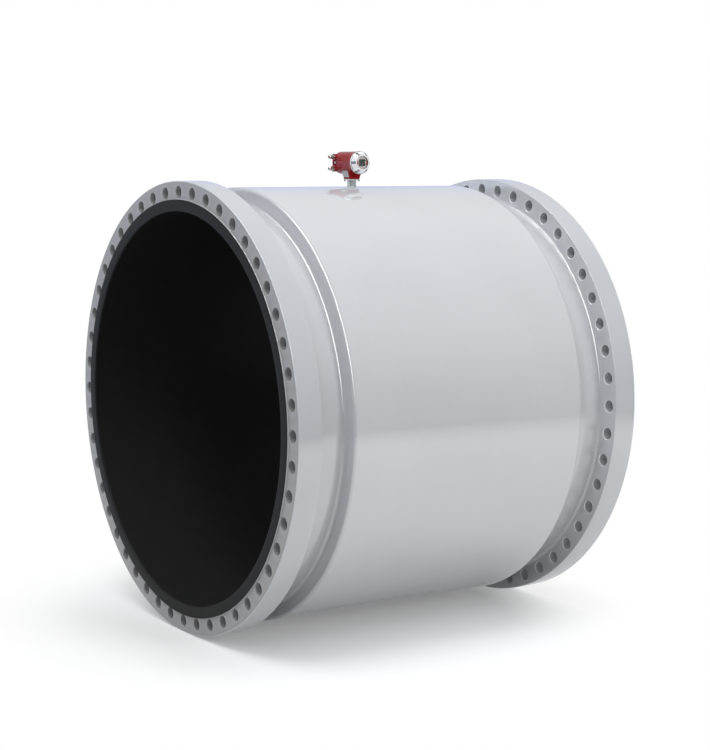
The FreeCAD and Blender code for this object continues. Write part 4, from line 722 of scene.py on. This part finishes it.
class MeterFinishes(bpy.types.PropertyGroup):
    grey: tint("Grey paint", "Sensor, flanges and coil housing", (0.485, 0.50, 0.525))
    bolting_face: tint(
        "Bolting face", "Turned faces and bolt holes of the flanges", (0.285, 0.285, 0.29),
    )
    red: tint("Red paint", "Converter housing", (0.245, 0.003, 0.005))
    silver: tint("Silver paint", "Front cover", (0.86, 0.87, 0.88))
    plate: tint("Stem plate paint", "Plate under the converter", (0.62, 0.63, 0.65))
    display_face: tint("Display face", "Pale band round the screen", (0.6, 0.52, 0.53))
    display_red: tint("Display sides", "Coloured fields beside the screen", (0.32, 0.01, 0.02))


class MeterFlanges(bpy.types.PropertyGroup):
    bolts: bpy.props.IntProperty(
        name="Bolt holes", description="Holes in each flange", min=4, default=48,
    )
    bolt_circle: metres("Bolt circle", "Radius of the bolt circle", 1.115)
    hole: metres("Hole", "Radius of a bolt hole", 0.031)
    hole_chamfer: metres("Hole chamfer", "Broken edge of the bolt holes", 0.0025)
    thickness: metres("Thickness", "From the bolting face to the back", 0.130)
    raised: metres("Raised face", "Height of the raised face", 0.006)
    raised_r: metres("Raised face radius", "Outer radius of the raised face", 1.0785)
    edge: metres("Edge rounding", "Rounding of the rim's edges", 0.004)
    bore: metres("Bore", "Radius inside the liner", 1.017)
    lining: metres("Lining", "Thickness of the liner in the tube", 0.018)
    liner_lip: metres("Liner lip", "Rounding where the flow enters", 0.009)
    housing_edge: metres("Housing corner", "Rounding of the coil housing's ends", 0.014)
    weld_leg: metres("Weld leg", "Leg of the fillet welds", 0.018)
    weld_pitch: metres("Weld ripple", "From one ripple of a weld to the next", 0.009)
    weld_lift: metres("Weld relief", "Height of a weld's ripples", 0.0005)


class MeterConverter(bpy.types.PropertyGroup):
    stem_r: metres("Stem", "Radius of the stem tube", 0.0242)
    stem_weld_leg: metres("Stem weld", "Leg of the weld at the stem's foot", 0.0038)
    stem_weld_pitch: metres("Stem weld ripple", "From one ripple to the next", 0.0024)
    plate_border: metres("Plate border", "Bare edge of the name plate", 0.0015)
    plate_line: metres("Plate line", "Width of the rules on the name plate", 0.0005)
    cover_face: metres("Cover face", "Radius of the front cover's face", 0.0465)
    cover_cone: metres("Cover cone", "From the face back to the step", 0.02275)
    cover_step: metres("Cover step", "Between the cone and the grip band", 0.0025)
    gland_seat: metres("Gland seat", "Between the boss and the hexagon", 0.0001)
    gland_thread: metres("Gland thread", "Length of the thread in the housing", 0.011)
    gland_bore: metres("Gland bore", "Its radius", 0.0065)
    gland_flats: metres("Gland flats", "Across the flats of both hexagons", 0.024)
    gland_hexagon: metres("Gland hexagon", "Length of the body's hexagon", 0.007)
    gland_gap: metres("Gland gap", "Bare thread between body and nut", 0.0025)
    gland_grip: metres("Nut hexagon", "Length of the nut's hexagon", 0.010)
    gland_spigot: metres("Gland spigot", "Radius that the nut screws on", 0.009)
    gland_nose: metres("Nut nose", "Rounding of the domed nose", 0.007)
    gland_mouth: metres("Nut mouth", "Radius of the nut's opening", 0.006)
    gland_spacing: metres("Gland spacing", "From the barrel's axis to each gland", 0.031)


class MeterDisplay(bpy.types.PropertyGroup):
    surround: metres("Screen surround", "Width of the dark edge round the screen", 0.0022)
    digits: whole("Large digits", "Digits in the upper row", 4)
    small_digits: whole("Small digits", "Digits in the lower row", 6)
    bars: whole("Bars", "Marks of the bar graph", 14)
    bars_lit: whole("Dark bars", "How many marks show", 3)


class MeterStage(bpy.types.PropertyGroup):
    camera_at: spot("Camera", "Place of the camera", (-5.2544, -8.1270, 1.2491))
    looks_at: spot("Looks at", "Point that the camera faces", (0.0438, 0.0, 0.1101))
    lens: bpy.props.FloatProperty(
        name="Lens", description="Focal length in millimetres", min=10, max=400, default=85.608,
    )
    floor_size: bpy.props.FloatProperty(
        name="Floor", description="Side of the square floor", unit="LENGTH", min=5, default=60.0,
    )
    sky: bpy.props.FloatProperty(
        name="Sky", description="Strength of the even light from all round", min=0, max=2,
        default=0.17,
    )


# ---- sensor ----
def flange(context, name, side, cad_node):
    """Bored, drilled and painted flange; side is +1 at the outlet and -1 at the inlet."""
    sizes = context.scene.meter_flanges
    wall = TUBE_HIGH.z
    rim = FLANGE_HIGH.z
    raised_x = FLANGE_HIGH.x
    front_x = raised_x - sizes.raised
    back_x = front_x - sizes.thickness
    raised_r = sizes.raised_r
    chamfer = sizes.hole_chamfer
    edge = sizes.edge
    bm = bmesh.new()

    def loop(x, r):
        return ring_of(bm, side * x, r, about_flow, sizes.bolts * 8)

    def corner(x, r, start, end, radius):
        turns = [start + (end - start) * k / EDGE_STEPS for k in range(EDGE_STEPS + 1)]
        return [loop(x + radius * math.cos(t), r + radius * math.sin(t)) for t in turns]

    quarter = math.pi / 2
    seat = [loop(raised_x, wall)]
    seat += corner(raised_x - SEAT_EDGE, raised_r - SEAT_EDGE, 0, quarter, SEAT_EDGE)
    seat.append(loop(front_x + SEAT_FOOT, raised_r))
    seat.append(loop(front_x + SEAT_FOOT_MIDDLE, raised_r + SEAT_FOOT_MIDDLE))
    seat.append(loop(front_x, raised_r + SEAT_FOOT))
    rim_loops = corner(front_x - edge, rim - edge, 0, quarter, edge)
    rim_loops += corner(back_x + edge, rim - edge, quarter, 2 * quarter, edge)
    inside = [loop(back_x, wall + SEAT_EDGE), loop(back_x + SEAT_EDGE, wall)]
    for row in (seat, rim_loops, inside):
        bridge_rows(bm, row)
    bridge(bm, inside[-1], seat[0])
    before_face = set(bm.faces)
    holes = (sizes.bolt_circle, sizes.hole + chamfer)
    front = flange_face(
        bm, about_flow, side * front_x, seat[-1], rim_loops[0], holes, sizes.bolts,
    )
    face_faces = set(bm.faces) - before_face
    back = flange_face(
        bm, about_flow, side * back_x, inside[0], rim_loops[-1], holes, sizes.bolts,
    )
    painted_faces = set(bm.faces) - face_faces
    highlight_faces = set()
    shrink = sizes.hole / (sizes.hole + chamfer)
    for open_front, open_back in zip(front, back):
        middle = sum((v.co for v in open_front), Vector()) / len(open_front)
        rows = [open_front]
        for depth in (chamfer, sizes.thickness * BARE_WALL, sizes.thickness - chamfer):
            shift = Vector((-side * depth, 0, 0))
            points = [middle + (v.co - middle) * shrink + shift for v in open_front]
            rows.append([bm.verts.new(p) for p in points])
        bridge_rows(bm, [*rows, open_back])
        bm.faces.ensure_lookup_table()
        painted_faces.update(bm.faces[-2 * len(open_back):])
        # The back chamfer of each hole is painted lighter, a painted highlight.
        highlight_faces.update(bm.faces[-len(open_back):])
    for face in bm.faces:
        face.material_index = 2 if face in highlight_faces else 0 if face in painted_faces else 1
    piece = finished(name, bm, "sensor", "grey_paint")
    piece.data.materials.append(finish("bolting_face"))
    piece.data.materials.append(finish("rubbed_edge"))
    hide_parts(cad_node)


def housing_end(context, name, side, cad_node):
    """End plate of the coil housing, with its rounded corner."""
    sizes = context.scene.meter_flanges
    low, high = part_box(cad_node)
    outer_x = side * (max(abs(low.x), abs(high.x)) - sizes.weld_leg)
    inner_x = side * SHELL_HIGH.x
    wall, outer = TUBE_HIGH.z, SHELL_HIGH.z
    corners = [
        (inner_x, wall), (inner_x, outer), (outer_x, outer, sizes.housing_edge), (outer_x, wall),
    ]
    bm = bmesh.new()
    turned(bm, rounded(corners, 12), about_flow, TURN_STEPS)
    piece = finished(name, bm, "sensor", "grey_paint")
    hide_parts(cad_node)


class METER_OT_flanges(bpy.types.Operator):
    """Inlet and outlet flange with their bolt holes"""

    bl_idname = "meter.flanges"
    bl_label = "Flanges"

    def execute(self, context):
        flange(context, "inlet_flange_drilled", -1, "inlet_flange")
        flange(context, "outlet_flange_drilled", 1, "outlet_flange")
        return {"FINISHED"}


class METER_OT_tube(bpy.types.Operator):
    """Measuring tube and its liner"""

    bl_idname = "meter.tube"
    bl_label = "Measuring tube and liner"

    def execute(self, context):
        dress("measuring_tube")
        sizes = context.scene.meter_flanges
        face = LINER_HIGH.x
        seat = FLANGE_HIGH.x
        edge = LINER_HIGH.z
        wall = sizes.bore + sizes.lining
        corners = [
            (-face, sizes.bore, sizes.liner_lip), (face, sizes.bore, sizes.liner_lip),
            (face, edge, LINER_EDGE), (seat, edge), (seat, wall),
            (-seat, wall), (-seat, edge), (-face, edge, LINER_EDGE),
        ]
        bm = bmesh.new()
        turned(bm, rounded(corners, 8), about_flow, TURN_STEPS)
        lining = finished("moulded_liner", bm, "sensor", "liner_rubber")
        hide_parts("liner")
        return {"FINISHED"}


class METER_OT_coil_housing(bpy.types.Operator):
    """Shell and end plates round the coils"""

    bl_idname = "meter.coil_housing"
    bl_label = "Coil housing"

    def execute(self, context):
        housing_end(context, "inlet_housing_end", -1, "inlet_end_plate")
        housing_end(context, "outlet_housing_end", 1, "outlet_end_plate")
        half = SHELL_HIGH.x
        outer = SHELL_HIGH.z
        inner = outer - SHELL_THICKNESS
        bm = bmesh.new()
        corners = [(-half, inner), (-half, outer), (half, outer), (half, inner)]
        turned(bm, [Vector(c) for c in corners], about_flow, TURN_STEPS)
        shell = finished("coil_housing_shell", bm, "sensor", "grey_paint")
        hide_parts("housing_shell")
        return {"FINISHED"}


class METER_OT_welds(bpy.types.Operator):
    """Fillet welds between the tube and what stands on it"""

    bl_idname = "meter.welds"
    bl_label = "Welds"

    def execute(self, context):
        sizes = context.scene.meter_flanges
        back_x = FLANGE_HIGH.x - sizes.raised - sizes.thickness
        end_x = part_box("outlet_end_plate")[1].x - sizes.weld_leg
        wall = TUBE_HIGH.z
        ripples = int(2 * math.pi * wall / sizes.weld_pitch)
        places = (
            ("inlet_flange_weld", -back_x, 1), ("inlet_housing_weld", -end_x, -1),
            ("outlet_housing_weld", end_x, 1), ("outlet_flange_weld", back_x, -1),
        )
        for name, corner, side in places:
            leg = side * sizes.weld_leg
            bm = bmesh.new()
            fillet_weld(bm, corner, wall, leg, WELD_CROWN, about_flow, ripples, sizes.weld_lift)
            finished(name, bm, "sensor", "grey_paint", WELD_SHARP)
        return {"FINISHED"}


class METER_OT_inside(bpy.types.Operator):
    """Magnet system, electrodes and leads inside the coil housing"""

    bl_idname = "meter.inside"
    bl_label = "Inside of the sensor"

    def execute(self, context):
        dress(
            "upper_field_coil", "lower_field_coil", "upper_pole_piece", "lower_pole_piece",
            "front_return_yoke", "rear_return_yoke", "coil_clamps", "coil_clamp_studs",
            "coil_leads", "signal_leads", "measuring_electrodes", "electrode_bushes",
            "electrode_nuts", "electrode_springs", "electrode_tags", "electrode_washers",
        )
        # The electrodes get a near-black finish, painted shade of the bore.
        frame["nodes"]["measuring_electrodes"].data.materials[0] = finish("electrode")
        return {"FINISHED"}


class METER_OT_stem(bpy.types.Operator):
    """Stem tube, its plate, gasket and bolts"""

    bl_idname = "meter.stem"
    bl_label = "Stem"

    def execute(self, context):
        dress("stem_tube", "stem_plate", "stem_gasket", "stem_bolts")
        sizes = context.scene.meter_converter
        ripples = int(2 * math.pi * sizes.stem_r / sizes.stem_weld_pitch)
        foot = SHELL_HIGH.z - STEM_WELD_SINK
        bm = bmesh.new()
        fillet_weld(
            bm, foot, sizes.stem_r, sizes.stem_weld_leg, STEM_WELD_CROWN, about_stem, ripples,
            sizes.stem_weld_pitch / 8,
        )
        finished("stem_weld", bm, "sensor", "grey_paint", WELD_SHARP)
        return {"FINISHED"}


# ---- converter ----
def plate_axes():
    """Directions along, up and out of the name plate, from its largest face to the left."""
    areas = {}
    for face in frame["nodes"]["nameplate"].data.polygons:
        key = tuple(round(c, 2) for c in face.normal)
        areas[key] = areas.get(key, 0.0) + face.area
    out = Vector(max((n for n in areas if n[0] < 0), key=areas.get)).normalized()
    along = Vector((0, -1, 0))
    up = out.cross(along).normalized()
    return along, -up if up.z < 0 else up, out


class METER_OT_converter(bpy.types.Operator):
    """Cast housing, rear cover, name plate and earth terminal"""

    bl_idname = "meter.converter"
    bl_label = "Converter"

    def execute(self, context):
        dress(
            "converter_housing", "rear_cover", "rear_cover_seal", "nameplate",
            "nameplate_rivets", "earth_clamp", "earth_screw",
        )
        sizes = context.scene.meter_converter
        line = sizes.plate_line
        along, up, out = plate_axes()
        points = [v.co for v in frame["nodes"]["nameplate"].data.vertices]
        level = max(p.dot(out) for p in points)
        reach = []
        for axis in (along, up):
            reach.append((min(p.dot(axis) for p in points), max(p.dot(axis) for p in points)))
        centre = along * sum(reach[0]) / 2 + up * sum(reach[1]) / 2 + out * level
        half = [(high - low) / 2 - sizes.plate_border for low, high in reach]
        bm = bmesh.new()

        def field(x0, y0, x1, y1):
            rows = []
            height = line * PLATE_RULE_HEIGHT
            for grow, proud in ((0, -SINK), (0, height), (line, height), (line, -SINK)):
                left, right, low, high = x0 + grow, x1 - grow, y0 + grow, y1 - grow
                rect = ((left, low), (right, low), (right, high), (left, high))
                places = [centre + along * x + up * y + out * proud for x, y in rect]
                rows.append([bm.verts.new(p) for p in places])
            bridge_rows(bm, rows, True)

        field(-half[0], -half[1], half[0], half[1])
        gap = line * 4
        side = half[0] - gap * 3
        step = (2 * half[1] - gap * (PLATE_ROWS + 1)) / PLATE_ROWS
        for i in range(PLATE_ROWS):
            top = half[1] - gap * (1 + i) - step * i
            split = (0.1 if i % 2 else -0.2) * half[0]
            field(-half[0] + gap * 3, top - step, split, top)
            field(split + gap, top - step, side, top)
        finished("nameplate_rules", bm, "sensor", "plate_metal", FINE_SHARP, "plate_rules")
        return {"FINISHED"}


class METER_OT_glands(bpy.types.Operator):
    """Cable glands"""

    bl_idname = "meter.glands"
    bl_label = "Cable glands"

    def execute(self, context):
        dress("gland_plugs", "gland_seals")
        sizes = context.scene.meter_converter
        low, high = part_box("gland_bodies")
        face_x = high.x - sizes.gland_thread
        middle = (low + high) / 2
        end = face_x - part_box("gland_nuts")[0].x
        seat = sizes.gland_seat
        hexagon_end = seat + sizes.gland_hexagon
        nut = hexagon_end + sizes.gland_gap
        dome = nut + sizes.gland_grip
        flat_r = sizes.gland_flats / 2
        rise = sizes.gland_flats / math.sqrt(3) - flat_r
        cut = rise * math.tan(math.pi / 6)
        nose_r = flat_r - 0.0005
        spigot = sizes.gland_spigot
        spigot_end = hexagon_end + SPIGOT_LENGTH
        crest_end = spigot_end - SPIGOT_CHAMFER
        thread_r = spigot - GLAND_THREAD_DEPTH
        mouth = sizes.gland_mouth

        def bevel(start, steps, way):
            return [(start + way * cut * k / 3, flat_r + rise * k / 3) for k in steps]

        screw = thread(hexagon_end + 0.0002, nut + 0.001, spigot, GLAND_PITCH, GLAND_THREAD_DEPTH)
        body = [
            (-sizes.gland_thread, sizes.gland_bore), (spigot_end, sizes.gland_bore),
            (spigot_end, spigot - SPIGOT_CHAMFER), (crest_end, spigot),
            *reversed(screw), (hexagon_end, thread_r), *bevel(hexagon_end, (0, 1, 2, 3), -1),
            *bevel(seat, (3, 2, 1, 0), 1), (seat, GLAND_SEAT_R),
            (-sizes.gland_thread, GLAND_SEAT_R),
        ]
        nose = [(dome + 0.0004, nose_r), (end, nose_r, sizes.gland_nose), (end, mouth, 0.0004)]
        cap = [
            (end, mouth), (end - 0.0024, mouth), (end - 0.0026, spigot), (nut, spigot + 0.00005),
            *bevel(nut, (0, 1, 2, 3), 1), *bevel(dome, (3, 2, 1), -1), (dome, flat_r),
            (dome + 0.0003, nose_r), *rounded(nose, 10)[1:],
        ]
        pieces = (
            ("gland_bodies_turned", "gland_bodies", body, seat, hexagon_end),
            ("gland_nuts_turned", "gland_nuts", cap, nut, dome),
        )
        for name, cad_node, shape, hex_low, hex_high in pieces:
            bm = bmesh.new()
            for height in (1, -1):
                centre_z = middle.z + height * sizes.gland_spacing

                def about_gland(along, out, angle):
                    across = middle.y + out * math.cos(angle)
                    return Vector((face_x - along, across, centre_z + out * math.sin(angle)))

                place = hexed(about_gland, sizes.gland_flats, hex_low - 1e-6, hex_high + 1e-6)
                turned(bm, [Vector(p) for p in shape], place, GLAND_STEPS)
            piece = finished(name, bm, "sensor", "nickel", GLAND_SHARP)
            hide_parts(cad_node)
        return {"FINISHED"}


class METER_OT_front_cover(bpy.types.Operator):
    """Front cover with its window"""

    bl_idname = "meter.front_cover"
    bl_label = "Front cover"

    def execute(self, context):
        dress("front_cover", "front_cover_seal", "window_gasket", "window_glass", "window_ring")
        return {"FINISHED"}


# ---- display ----
def on_screen(across, up, proud):
    """Point by its place on the display's screen and its height over it."""
    middle = (SCREEN_LOW + SCREEN_HIGH) / 2
    return Vector((middle.x + across, SCREEN_LOW.y - proud, middle.z + up))


def bar(bm, centre, half, pointed=False):
    """Thin raised bar of the display, pointed at both ends when it is a digit's stroke."""
    x, z = centre
    w, h = half
    if not pointed:
        shape = [(-w, -h), (w, -h), (w, h), (-w, h)]
    elif w > h:
        shape = [(-w, 0), (-w + h, -h), (w - h, -h), (w, 0), (w - h, h), (-w + h, h)]
    else:
        shape = [(0, -h), (w, -h + w), (w, h - w), (0, h), (-w, h - w), (-w, -h + w)]
    front, back = (
        [bm.verts.new(on_screen(x + a, z + b, proud)) for a, b in shape]
        for proud in (DIGIT_HEIGHT, -SINK)
    )
    bm.faces.new(front)
    bm.faces.new(reversed(back))
    bridge(bm, front, back)


def zero(lit, unlit, centre, wide, tall):
    """The figure nought in seven strokes, of which the middle one stays faint."""
    x, z = centre
    thin = tall * STROKE
    flat = (wide / 2 - thin * STROKE_GAP, thin)
    upright = (thin, tall / 4 - thin * STROKE_GAP)
    bar(lit, (x, z + tall / 2), flat, True)
    bar(unlit, (x, z), flat, True)
    bar(lit, (x, z - tall / 2), flat, True)
    for up in (tall / 4, -tall / 4):
        for across in (-wide / 2, wide / 2):
            bar(lit, (x + across, z + up), upright, True)


class METER_OT_display(bpy.types.Operator):
    """Display and the electronics behind it"""

    bl_idname = "meter.display"
    bl_label = "Display and electronics"

    def execute(self, context):
        dress(
            "display_bezel", "display_side_fields", "display_screen", "display_board",
            "electronics_frame", "partition_feedthrough", "power_board", "signal_board",
            "terminal_block", "terminal_screws",
        )
        sizes = context.scene.meter_display
        half = (SCREEN_HIGH - SCREEN_LOW) / 2
        edge = sizes.surround
        bm = bmesh.new()
        rows = []
        # How far in and how high each line of the dark edge lies.
        section = (
            (0, 0.0), (0, 0.00035), (edge * 0.2, 0.0004), (edge * 0.8, 0.0004), (edge, 0.0001),
        )
        for inset, proud in section:
            wide = half.x - inset
            tall = half.z - inset
            rect = ((-wide, -tall), (wide, -tall), (wide, tall), (-wide, tall))
            rows.append([bm.verts.new(on_screen(x, z, proud)) for x, z in rect])
        rows.append([bm.verts.new(v.co + Vector((0, 0.0002, 0))) for v in rows[-1]])
        bridge_rows(bm, rows, True)
        finished("screen_surround", bm, "sensor", "black_plastic", FINE_SHARP)

        lit = bmesh.new()
        unlit = bmesh.new()
        left = -half.x + edge * NUMBER_MARGIN
        # Of each row: its digits, its height, the height of a digit, the digits before the point.
        number_rows = ((sizes.digits, 0.34, 0.0088, 2), (sizes.small_digits, -0.12, 0.0052, 4))
        for count, height, tall, before_point in number_rows:
            pitch = -2 * left / count
            middle = half.z * height * 2 * ROW_REACH
            for i in range(count):
                centre = (left + pitch * (i + 0.5), middle)
                zero(lit, unlit, centre, pitch * DIGIT_FILL, tall)
            point = (left + pitch * before_point, middle - tall / 2)
            bar(lit, point, (tall * 0.07, tall * 0.07))
        for i in range(sizes.bars):
            across = (half.x - edge * BAR_MARGIN) * (2 * (i + 0.5) / sizes.bars - 1)
            bar(lit if i < sizes.bars_lit else unlit, (across, -half.z * ROW_REACH), BAR_HALF)
        finished("screen_digits", lit, "sensor", "screen", FINE_SHARP, "digits")
        finished("screen_unlit_digits", unlit, "sensor", "screen", FINE_SHARP, "unlit_digits")
        return {"FINISHED"}


# ---- stage ----
FLOOR_BOUNCE = 0.56  # colour of the floor where it only lights the object
FLOOR_SHADE = 0.74  # its colour where it is seen
FLOOR_GLOW = 0.19  # the light that it gives off there
SHADE_SHIFT = (0.35, 0.0, 0.0)  # brings the middle of the shaded ellipse to the origin
SHADE_SHRINK = (0.87, 0.77, 0.0)
SHADE_FADE = (0.98, 1.6)  # where that part fades to plain white, in the shrunk ellipse
FLOOR_OPENS = (4.6, 8.0)  # distances where reflections begin to see past the floor
# Strength that the even light gains towards an end of an axis.
SKY_SHARES = ((0.95, "Z", 1.0), (0.6, "X", 1.0), (0.32, "X", -1.0))
BLUE_WALLS = (0.54, 0.61, 0.86, 1.0), (0.95, 1.05, 1.3, 1.0)
LOW_WALL = (0.6, 0.61, 0.62, 1.0)
FRONT_WALLS = (0.12, 0.125, 0.13, 1.0), (0.38, 0.385, 0.39, 1.0)
STRIP_ASIDE = 0.3  # how far to the left the strip light lies, as a direction
STRIP_LIGHT = (15.0, 15.0, 15.0, 1.0)
# Each lamp: its place, the point it faces, its width and length, its power and its colour.
LAMPS = {
    "front_lamp": ((3.2, -9.0, 2.0), (0.0, 0.0, -0.4), (2.5, 2.5), 170, (1.0, 1.0, 1.0)),
    "top_lamp": ((0.3, -1.5, 9.5), (0.0, 0.0, 0.0), (1.6, 6.0), 95, (1.0, 1.0, 1.0)),
    "left_lamp": ((-5.0, -3.0, 10.0), (0.0, 0.0, 0.0), (4.0, 4.0), 310, (0.94, 0.97, 1.0)),
}


def mixed_shader(tree, factor, first, second):
    links = [(0, factor), (1, first), (2, second)]
    return node(tree, "ShaderNodeMixShader", links).outputs[0]


def shader_of(tree, kind, colour, strength=None):
    """Plain shader; one that gives light has a strength too."""
    links = [("Color", colour)] + ([] if strength is None else [("Strength", strength)])
    return node(tree, kind, links).outputs[0]


def floor_finish():
    """Pale floor: white to the camera and in reflections, with the object's shadow on it.

    Far from the object it is left open to reflections, which see the studio's walls there.
    """
    material = bpy.data.materials.new("floor")
    tree = fresh_tree(material)
    path = node(tree, "ShaderNodeLightPath").outputs
    place = node(tree, "ShaderNodeTexCoord").outputs["Object"]
    seen = calc(tree, "MAXIMUM", path["Is Camera Ray"], path["Is Glossy Ray"])
    seen = calc(tree, "MAXIMUM", seen, path["Is Transmission Ray"])
    shrunk = vector_calc(tree, "ADD", place, SHADE_SHIFT)
    shrunk = vector_calc(tree, "MULTIPLY", shrunk, SHADE_SHRINK)
    clear = spread(tree, vector_calc(tree, "LENGTH", shrunk), *SHADE_FADE)
    away = spread(tree, vector_calc(tree, "LENGTH", place), *FLOOR_OPENS)
    open_floor = node(tree, "ShaderNodeBsdfTransparent").outputs[0]
    diffuse = "ShaderNodeBsdfDiffuse"
    bounce = shader_of(tree, diffuse, (FLOOR_BOUNCE, FLOOR_BOUNCE, FLOOR_BOUNCE, 1.0))
    shade = shader_of(tree, diffuse, (FLOOR_SHADE, FLOOR_SHADE, FLOOR_SHADE, 1.0))
    glow = shader_of(tree, "ShaderNodeEmission", WHITE, FLOOR_GLOW)
    near = node(tree, "ShaderNodeAddShader", [(0, shade), (1, glow)]).outputs[0]
    white = shader_of(tree, "ShaderNodeEmission", WHITE, 1.0)
    ground = mixed_shader(tree, clear, near, white)
    in_gloss = times(tree, away, path["Is Glossy Ray"])
    looked_at = mixed_shader(tree, in_gloss, ground, open_floor)
    surface = mixed_shader(tree, seen, bounce, looked_at)
    node(tree, "ShaderNodeOutputMaterial", [("Surface", surface)])
    return material


def studio_walls(tree, at):
    """Colours that reflections see.

    The walls are bluish behind the object and dimmer in front of it. A narrow strip light hangs
    over the object and in front of it, a little to the left.
    """
    high = spread(tree, at["Z"], 0.1, 0.5)
    behind = spread(tree, at["Y"], -0.3, 0.3)
    leftward = spread(tree, at["X"], 0.2, -0.4)
    sideways = spread(tree, calc(tree, "ABSOLUTE", at["X"]), 0.12, 0.34)
    low_wall = mixed(tree, sideways, LOW_WALL, mixed(tree, leftward, *BLUE_WALLS))
    far_side = mixed(tree, high, low_wall, LOW_WALL)
    walls = mixed(tree, behind, mixed(tree, high, *FRONT_WALLS), far_side)
    off = calc(tree, "ABSOLUTE", calc(tree, "ADD", at["X"], STRIP_ASIDE))
    overhead = spread(tree, off, 0.04, 0.13, 1.0, 0.0)
    raised = spread(tree, at["Z"], 0.05, 0.45)
    in_front = spread(tree, at["Y"], 0.2, 0.6, 1.0, 0.0)
    strip = times(tree, overhead, raised, in_front)
    return mixed(tree, strip, walls, STRIP_LIGHT)


def studio_sky(world, strength):
    """Even pale light, white where it is seen directly or through glass."""
    tree = fresh_tree(world)
    path = node(tree, "ShaderNodeLightPath").outputs
    place = node(tree, "ShaderNodeTexCoord").outputs["Generated"]
    at = node(tree, "ShaderNodeSeparateXYZ", [(0, place)]).outputs
    for share, axis, end in SKY_SHARES:
        part = spread(tree, at[axis], 0.0, end, 0.0, share)
        strength = calc(tree, "ADD", part, strength)
    background = "ShaderNodeBackground"
    light = shader_of(tree, background, WHITE, strength)
    gloss = shader_of(tree, background, studio_walls(tree, at), 1.0)
    white = shader_of(tree, background, WHITE, 1.0)
    seen = calc(tree, "MAXIMUM", path["Is Camera Ray"], path["Is Transmission Ray"])
    lit = mixed_shader(tree, path["Is Glossy Ray"], light, gloss)
    surface = mixed_shader(tree, seen, lit, white)
    node(tree, "ShaderNodeOutputWorld", [("Surface", surface)])


def standing(context, name, data, place, aim):
    """Object at a place, facing a point."""
    holder = bpy.data.objects.new(name, data)
    holder.location = place
    holder.rotation_euler = (Vector(aim) - Vector(place)).to_track_quat("-Z", "Y").to_euler()
    context.scene.collection.objects.link(holder)
    return holder


class METER_OT_stage(bpy.types.Operator):
    """Floor, light and camera"""

    bl_idname = "meter.stage"
    bl_label = "Stage"

    def execute(self, context):
        stage = context.scene.meter_stage
        half = stage.floor_size / 2
        mesh = bpy.data.meshes.new("floor")
        corners = [(-half, -half), (half, -half), (half, half), (-half, half)]
        mesh.from_pydata([(x, y, FLOOR_Z) for x, y in corners], [], [(0, 1, 2, 3)])
        mesh.materials.append(floor_finish())
        floor = bpy.data.objects.new("floor", mesh)
        context.scene.collection.objects.link(floor)

        world = bpy.data.worlds.new("studio")
        context.scene.world = world
        studio_sky(world, stage.sky)
        for name, (place, aim, size, power, colour) in LAMPS.items():
            lamp = bpy.data.lights.new(name, "AREA")
            lamp.shape = "RECTANGLE"
            lamp.size, lamp.size_y = size
            lamp.energy = power
            lamp.color = colour
            standing(context, name, lamp, place, aim).visible_glossy = False

        camera = bpy.data.cameras.new("camera")
        camera.lens = stage.lens
        camera.clip_end = 200
        eye = standing(context, "camera", camera, stage.camera_at, stage.looks_at)
        context.scene.camera = eye
        context.scene.view_settings.view_transform = "Standard"
        return {"FINISHED"}


# ---- add-on ----
GROUPS = {
    "meter_finishes": MeterFinishes,
    "meter_flanges": MeterFlanges,
    "meter_converter": MeterConverter,
    "meter_display": MeterDisplay,
    "meter_stage": MeterStage,
}
OPERATORS = (
    METER_OT_flanges,
    METER_OT_tube,
    METER_OT_coil_housing,
    METER_OT_welds,
    METER_OT_inside,
    METER_OT_stem,
    METER_OT_converter,
    METER_OT_glands,
    METER_OT_front_cover,
    METER_OT_display,
    METER_OT_stage,
)


class METER_PT_panel(bpy.types.Panel):
    """Lists the pieces in the order they are made"""

    bl_label = "Flow meter"
    bl_idname = "METER_PT_panel"
    bl_space_type = "VIEW_3D"
    bl_region_type = "UI"
    bl_category = "Flow meter"

    def draw(self, context):
        for label, group in GROUPS.items():
            box = self.layout.box()
            for name in group.__annotations__:
                box.prop(getattr(context.scene, label), name)
        for operator in OPERATORS:
            self.layout.operator(operator.bl_idname)


CLASSES = (*GROUPS.values(), *OPERATORS, METER_PT_panel)


def register():
    for cls in CLASSES:
        bpy.utils.register_class(cls)
    for name, group in GROUPS.items():
        setattr(bpy.types.Scene, name, bpy.props.PointerProperty(type=group))


def unregister():
    for name in GROUPS:
        delattr(bpy.types.Scene, name)
    for cls in reversed(CLASSES):
        bpy.utils.unregister_class(cls)


def main():
    register()
    for operator in OPERATORS:
        group, name = operator.bl_idname.split(".")
        getattr(getattr(bpy.ops, group), name)()
    bpy.context.view_layer.update()


if __name__ == "__main__":
    main()
